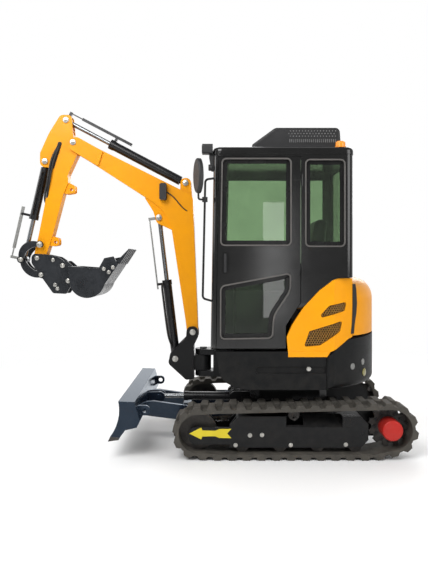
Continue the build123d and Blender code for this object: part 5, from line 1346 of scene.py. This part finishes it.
@dataclass
class CoolerGrille:
    """Grille of the cooler on the cab's roof, its dots and slats in mid grey as painted highlights."""

    span: Flat = (-0.362, 0.028)
    sink: float = 0.001
    dot_radius: float = 0.0055
    dot_depth: float = 0.003
    dot_rounding: float = 0.001
    dot_sides: int = 10
    dot_pitch: float = 0.025
    dot_heights: tuple[float, ...] = (2.618, 2.640, 2.662)
    slat_pitch: float = 0.0165
    slat_share: float = 0.44
    slat_depth: float = 0.004
    slat_heights: Flat = (2.566, 2.594)

    def build(self) -> None:
        """Rows of raised dots over a row of upright slats in the rear part of the cooler's two sides, in a
        mid grey that paints their highlights.
        """
        bm = bmesh.new()
        first, last = self.span
        low, high = self.slat_heights
        half = self.slat_pitch * self.slat_share / 2
        for side in SIDES:
            for index in range(round((last - first) / self.dot_pitch)):
                for row, z in enumerate(self.dot_heights):
                    x = first + (index + 0.5 * (row % 2)) * self.dot_pitch
                    y = Surface.side_y("ac_unit", x, z, side) - side * self.sink
                    Maker.drum(bm, (x, y, z), (0, side, 0), self.dot_radius, self.dot_depth,
                               self.dot_rounding, self.dot_sides)
            for index in range(round((last - first) / self.slat_pitch)):
                x = first + index * self.slat_pitch
                y = Surface.side_y("ac_unit", x, (low + high) / 2, side) - side * self.sink
                Maker.plate(bm, Maker.rectangle((x - half, low), (x + half, high)), y, side * self.slat_depth)
        Maker.piece("ac_unit_grille", bm, Finishes.cooler_highlight, "upper")


class Tail:
    """Round rear of the revolving body."""

    radius: float = 0.770
    body_side: float = 0.700

    @classmethod
    def side_y(cls, x: float, inset: float = 0.0) -> float:
        """Y of the tail's round side at x.

        Args:
            x: Place along the machine.
            inset: How far inside the outer skin.

        Returns:
            The surface's Y on the left side.
        """
        radius = cls.radius - inset
        return min(math.sqrt(max(radius * radius - x * x, 0.0)), cls.body_side - inset)


@dataclass
class HoodVents:
    """Honeycomb in the hood's vents and the dark plates behind them, which paint the shade inside the hood.
    """

    mesh_inset: float = 0.012
    cell: float = 0.0115
    wall: float = 0.0021
    mesh_depth: float = 0.006
    hood_front: float = 0.063
    hood_length: float = 0.549
    # Corners as (share of the hood's length, z)
    vents: tuple[Outline, ...] = (
        ((0.439, 1.112), (0.625, 1.222), (0.898, 1.250), (0.865, 1.176), (0.672, 1.148)),
        ((0.25, 0.890), (0.333, 1.016), (0.829, 1.100), (0.789, 1.012), (0.49, 0.902)),
    )
    # Outline of the dark plate that paints the shade behind the vents.
    shade_plate: Outline = (
        (0.010, 0.870), (0.010, 1.275), (-0.474, 1.275), (-0.474, 0.870),
    )
    shade_plate_y: float = 0.580
    shade_plate_depth: float = 0.004

    def build(self) -> None:
        """Make the honeycomb and the dark plates of painted shade."""
        self._honeycomb()
        self._shade_plates()

    @staticmethod
    def _inside(spot: Flat, outline: Outline) -> bool:
        """Whether a spot is inside an outline.

        Args:
            spot: The spot as (x, z).
            outline: The outline's corners.

        Returns:
            True where the spot is inside.
        """
        inside = False
        for (x0, z0), (x1, z1) in zip(outline, [*outline[1:], outline[0]]):
            if (z0 > spot[1]) != (z1 > spot[1]) and spot[0] < (x1 - x0) * (spot[1] - z0) / (z1 - z0) + x0:
                inside = not inside
        return inside

    def _honeycomb(self) -> None:
        """Wall of open six-sided cells across each vent, bent to the tail's curve."""
        bm = bmesh.new()
        step_x = self.cell * math.sqrt(3)
        step_z = self.cell * 1.5
        for shares in self.vents:
            outline = [(self.hood_front - share * self.hood_length, z) for share, z in shares]
            left = min(x for x, _ in outline)
            bottom = min(z for _, z in outline)
            columns = int((max(x for x, _ in outline) - left) / step_x) + 2
            rows = int((max(z for _, z in outline) - bottom) / step_z) + 2
            for row in range(rows):
                for column in range(columns):
                    spot = (left + (column + 0.5 * (row % 2)) * step_x, bottom + row * step_z)
                    if self._inside(spot, outline):
                        self._cell(bm, spot)
        mesh = Maker.piece("vent_honeycomb", bm, Finishes.vent_mesh, "upper")
        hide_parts("vent_grilles")

    def _cell(self, bm: Mesh, spot: Flat) -> None:
        """One open cell of the honeycomb.

        Args:
            bm: Mesh to add to.
            spot: The cell's middle as (x, z).
        """
        made = bmesh.ops.create_circle(bm, cap_ends=True, segments=6, radius=self.cell)
        rim = Maker.rim_of(bm, made["verts"][0].link_faces[0], self.wall)
        verts = {vert for face in rim for vert in face.verts}
        moved = Maker.thicken(bm, rim, (0, 0, self.mesh_depth))
        x, z = spot
        y = Tail.side_y(x, self.mesh_inset)
        outward = Vector((x, y, 0)).normalized()
        bmesh.ops.transform(bm, matrix=Maker.turned(outward, (x, y, z)), verts=[*verts, *moved])

    def _shade_plates(self) -> None:
        """Dark plate behind the vents of each hood: painted shade standing in for the dark inside of the
        hood.
        """
        bm = bmesh.new()
        for side in SIDES:
            Maker.plate(bm, self.shade_plate, side * self.shade_plate_y, side * self.shade_plate_depth)
        Maker.piece("hood_painted_shade_plates", bm, Finishes.grille, "upper")


@dataclass
class HoodSeams:
    """Rubber bands over the rear lid's seams and the left hood's lower lip."""

    # Front x, back x and z
    band: Route = (
        (-0.487, -0.516, 1.392), (-0.487, -0.526, 1.340), (-0.487, -0.533, 1.232), (-0.485, -0.526, 1.151),
        (-0.480, -0.509, 1.061), (-0.470, -0.501, 0.985),
    )
    band_rise: float = 0.0025
    band_sink: float = 0.006
    lip: Outline = (
        (0.051, 0.856), (0.051, 0.809), (-0.262, 0.809), (-0.292, 0.856),
    )
    lip_spot: Flat = (0.0, 0.830)
    lip_sink: float = 0.006
    lip_depth: float = 0.009

    def build(self) -> None:
        """Make the bands and the lip."""
        self._bands()
        self._lip()

    def _bands(self) -> None:
        """Broad rubber band over the seam at each side of the rear lid."""
        outer, inner = -self.band_rise, self.band_sink
        for name, side in (("left", 1), ("right", -1)):
            bm = bmesh.new()
            rings = []
            for front, back, z in self.band:
                corners = ((front, outer), (back, outer), (back, inner), (front, inner))
                rings.append([bm.verts.new((x, side * Tail.side_y(x, inset), z)) for x, inset in corners])
            for upper, lower in zip(rings, rings[1:]):
                for index in range(len(upper)):
                    bm.faces.new((upper[index - 1], upper[index], lower[index], lower[index - 1]))
            bm.faces.new(rings[0])
            bm.faces.new(rings[-1])
            Maker.piece(f"hood_seam_{name}", bm, Finishes.seal_rubber, BODY_OF["rear_hood"])

    def _lip(self) -> None:
        """Yellow lip that laps over the left skirt."""
        bm = bmesh.new()
        y = Surface.side_y("side_skirts", *self.lip_spot, 1)
        Maker.plate(bm, self.lip, y - self.lip_sink, self.lip_depth)
        Maker.piece("hood_left_lip", bm, Finishes.yellow, "upper")


@dataclass
class TailFittings:
    """Fittings on the counterweight and the side skirts."""

    hole_spots: tuple[Flat, ...] = ((-0.488, 0.717), (-0.595, 0.739))
    hole_radius: float = 0.026
    hole_cover_share: float = 0.7
    hole_cover_depth: float = 0.0012
    reflector_spots: tuple[Flat, ...] = ((-0.612, 0.648),)
    reflector_radius: float = 0.033
    disc_depth: float = 0.004
    disc_rounding: float = 0.0015
    disc_start: float = 0.999
    cover_start: float = 1.004
    skirt_bolt: Flat = (-0.116, 0.712)
    skirt_bolt_across: float = 0.026

    def build(self) -> None:
        """Make the discs on the counterweight and the skirts' bolts."""
        self._counterweight()
        self._skirt_bolts()

    def _counterweight(self) -> None:
        """Two covered holes with their rims and a reflector on each side of the counterweight."""
        for kind, spots, radius, finish, covered in (
            ("hole_rims", self.hole_spots, self.hole_radius, Finishes.guard_grey, True),
            ("reflectors", self.reflector_spots, self.reflector_radius, Finishes.reflector, False),
        ):
            bm = bmesh.new()
            for x, z in spots:
                for side in SIDES:
                    y = side * Tail.side_y(x)
                    start = (x * self.disc_start, y * self.disc_start, z)
                    Maker.drum(bm, start, (x, y, 0), radius, self.disc_depth, self.disc_rounding)
                    if covered:
                        start = (x * self.cover_start, y * self.cover_start, z)
                        cover_radius = radius * self.hole_cover_share
                        Maker.drum(bm, start, (x, y, 0), cover_radius, self.hole_cover_depth)
            Maker.piece(f"counterweight_{kind}", bm, finish, "upper")

    def _skirt_bolts(self) -> None:
        """Plated bolt in the groove of each side skirt."""
        bm = bmesh.new()
        x, z = self.skirt_bolt
        for side in SIDES:
            y = Surface.side_y("side_skirts", x, z, side)
            Maker.bolt(bm, (x, y, z), (0, side, 0), self.skirt_bolt_across)
        Maker.piece("skirt_bolts", bm, Finishes.zinc, "upper")


@dataclass
class SeatPads:
    """Operator's seat: a cushion and a back that swell under their vinyl, with sewn channels."""

    voxel: float = 0.006
    frames: int = 20
    pressure: float = 4.0
    cloth_quality: int = 4
    swell_cap: float = 0.010
    shrink: float = 0.006
    channel_depth: float = 0.006
    channel_width: float = 0.012
    channel_share: float = 0.24
    face_slope: float = 0.3

    def build(self) -> None:
        """Make both pads in the room of their solids."""
        self._pad("seat_cushion", "seat_cushion_pad", 2)
        self._pad("seat_back", "seat_back_pad", 0)

    def _pad(self, node: str, name: str, thin_axis: int) -> None:
        """Make one pad from a copy of its solid.

        Args:
            node: The plain solid it stands for.
            name: The pad's name.
            thin_axis: Axis across the pad's thickness.
        """
        bm = bmesh.new()
        bm.from_mesh(frame["nodes"][node].data)
        bmesh.ops.remove_doubles(bm, verts=bm.verts, dist=1e-5)
        low, high = (Vector(corner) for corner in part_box(node))
        middle = (low + high) / 2
        scale = 1 - 2 * self.shrink / min(high - low)
        for vert in bm.verts:
            vert.co = middle + (vert.co - middle) * scale
        mesh = bpy.data.meshes.new(name)
        bm.to_mesh(mesh)
        bm.free()
        mesh.materials.append(Finishes.vinyl.material())
        pad = bpy.data.objects.new(name, mesh)
        bpy.context.collection.objects.link(pad)
        self._remesh(pad)
        self._swell(pad)
        self._channels(pad, low, high, thin_axis)
        finer = pad.modifiers.new("finer", "SUBSURF")
        finer.levels = finer.render_levels = 1
        for face in pad.data.polygons:
            face.use_smooth = True
        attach(pad, "upper")
        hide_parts(node)
        LOG.info("made %s", name)

    def _remesh(self, pad: bpy.types.Object) -> None:
        """Even out a pad's mesh so that it can swell.

        Args:
            pad: The pad.
        """
        remesh = pad.modifiers.new("even", "REMESH")
        remesh.mode = "VOXEL"
        remesh.voxel_size = self.voxel
        self._apply(pad)

    @staticmethod
    def _apply(pad: bpy.types.Object) -> None:
        """Keep what a pad's modifiers show as its own mesh.

        Args:
            pad: The pad.
        """
        shown = pad.evaluated_get(bpy.context.evaluated_depsgraph_get())
        mesh = bpy.data.meshes.new_from_object(shown)
        pad.modifiers.clear()
        old = pad.data
        pad.data = mesh
        bpy.data.meshes.remove(old)

    def _swell(self, pad: bpy.types.Object) -> None:
        """Blow a pad up as cloth under pressure, and hold each point near its start.

        Args:
            pad: The pad.
        """
        start = [vert.co.copy() for vert in pad.data.vertices]
        cloth = pad.modifiers.new("swell", "CLOTH")
        cloth.settings.use_pressure = True
        cloth.settings.uniform_pressure_force = self.pressure
        cloth.settings.effector_weights.gravity = 0.0
        cloth.settings.quality = self.cloth_quality
        cloth.collision_settings.use_collision = False
        scene = bpy.context.scene
        for step in range(1, self.frames + 1):
            scene.frame_set(step)
        self._apply(pad)
        scene.frame_set(1)
        for vert, place in zip(pad.data.vertices, start):
            move = vert.co - place
            if move.length > self.swell_cap:
                vert.co = place + move * (self.swell_cap / move.length)

    def _channels(self, pad: bpy.types.Object, low: Vector, high: Vector, thin_axis: int) -> None:
        """Press sewn channels into the pad's face, two along it and one across its middle.

        Args:
            pad: The pad.
            low: Lowest corner of its solid.
            high: Highest corner of its solid.
            thin_axis: Axis across the pad's thickness.
        """
        long_axis = 2 - thin_axis
        size = high - low
        side = size.y * self.channel_share
        lines = [(1, low.y + side), (1, high.y - side), (long_axis, low[long_axis] + size[long_axis] / 2)]
        half = low[thin_axis] + size[thin_axis] / 2
        for vert in pad.data.vertices:
            if vert.normal[thin_axis] < self.face_slope or (thin_axis == 2 and vert.co[2] < half):
                continue
            nearest = min(abs(vert.co[axis] - place) for axis, place in lines)
            press = math.exp(-(nearest / self.channel_width) ** 2)
            vert.co[thin_axis] -= self.channel_depth * press * vert.normal[thin_axis]


def main() -> None:
    """Build the machine's looks in order."""
    Studio().build()
    dress_nodes()
    for part in (Fittings(), TravelArrows(), HydraulicLines(), CabWindows(), WorkLamps(), MirrorFace(),
                 CoolerGrille(), HoodVents(), HoodSeams(), TailFittings(), SeatPads()):
        part.build()
        LOG.info("built %s", type(part).__name__)


if __name__ == "__main__":
    logging.basicConfig(level=logging.INFO)
    main()
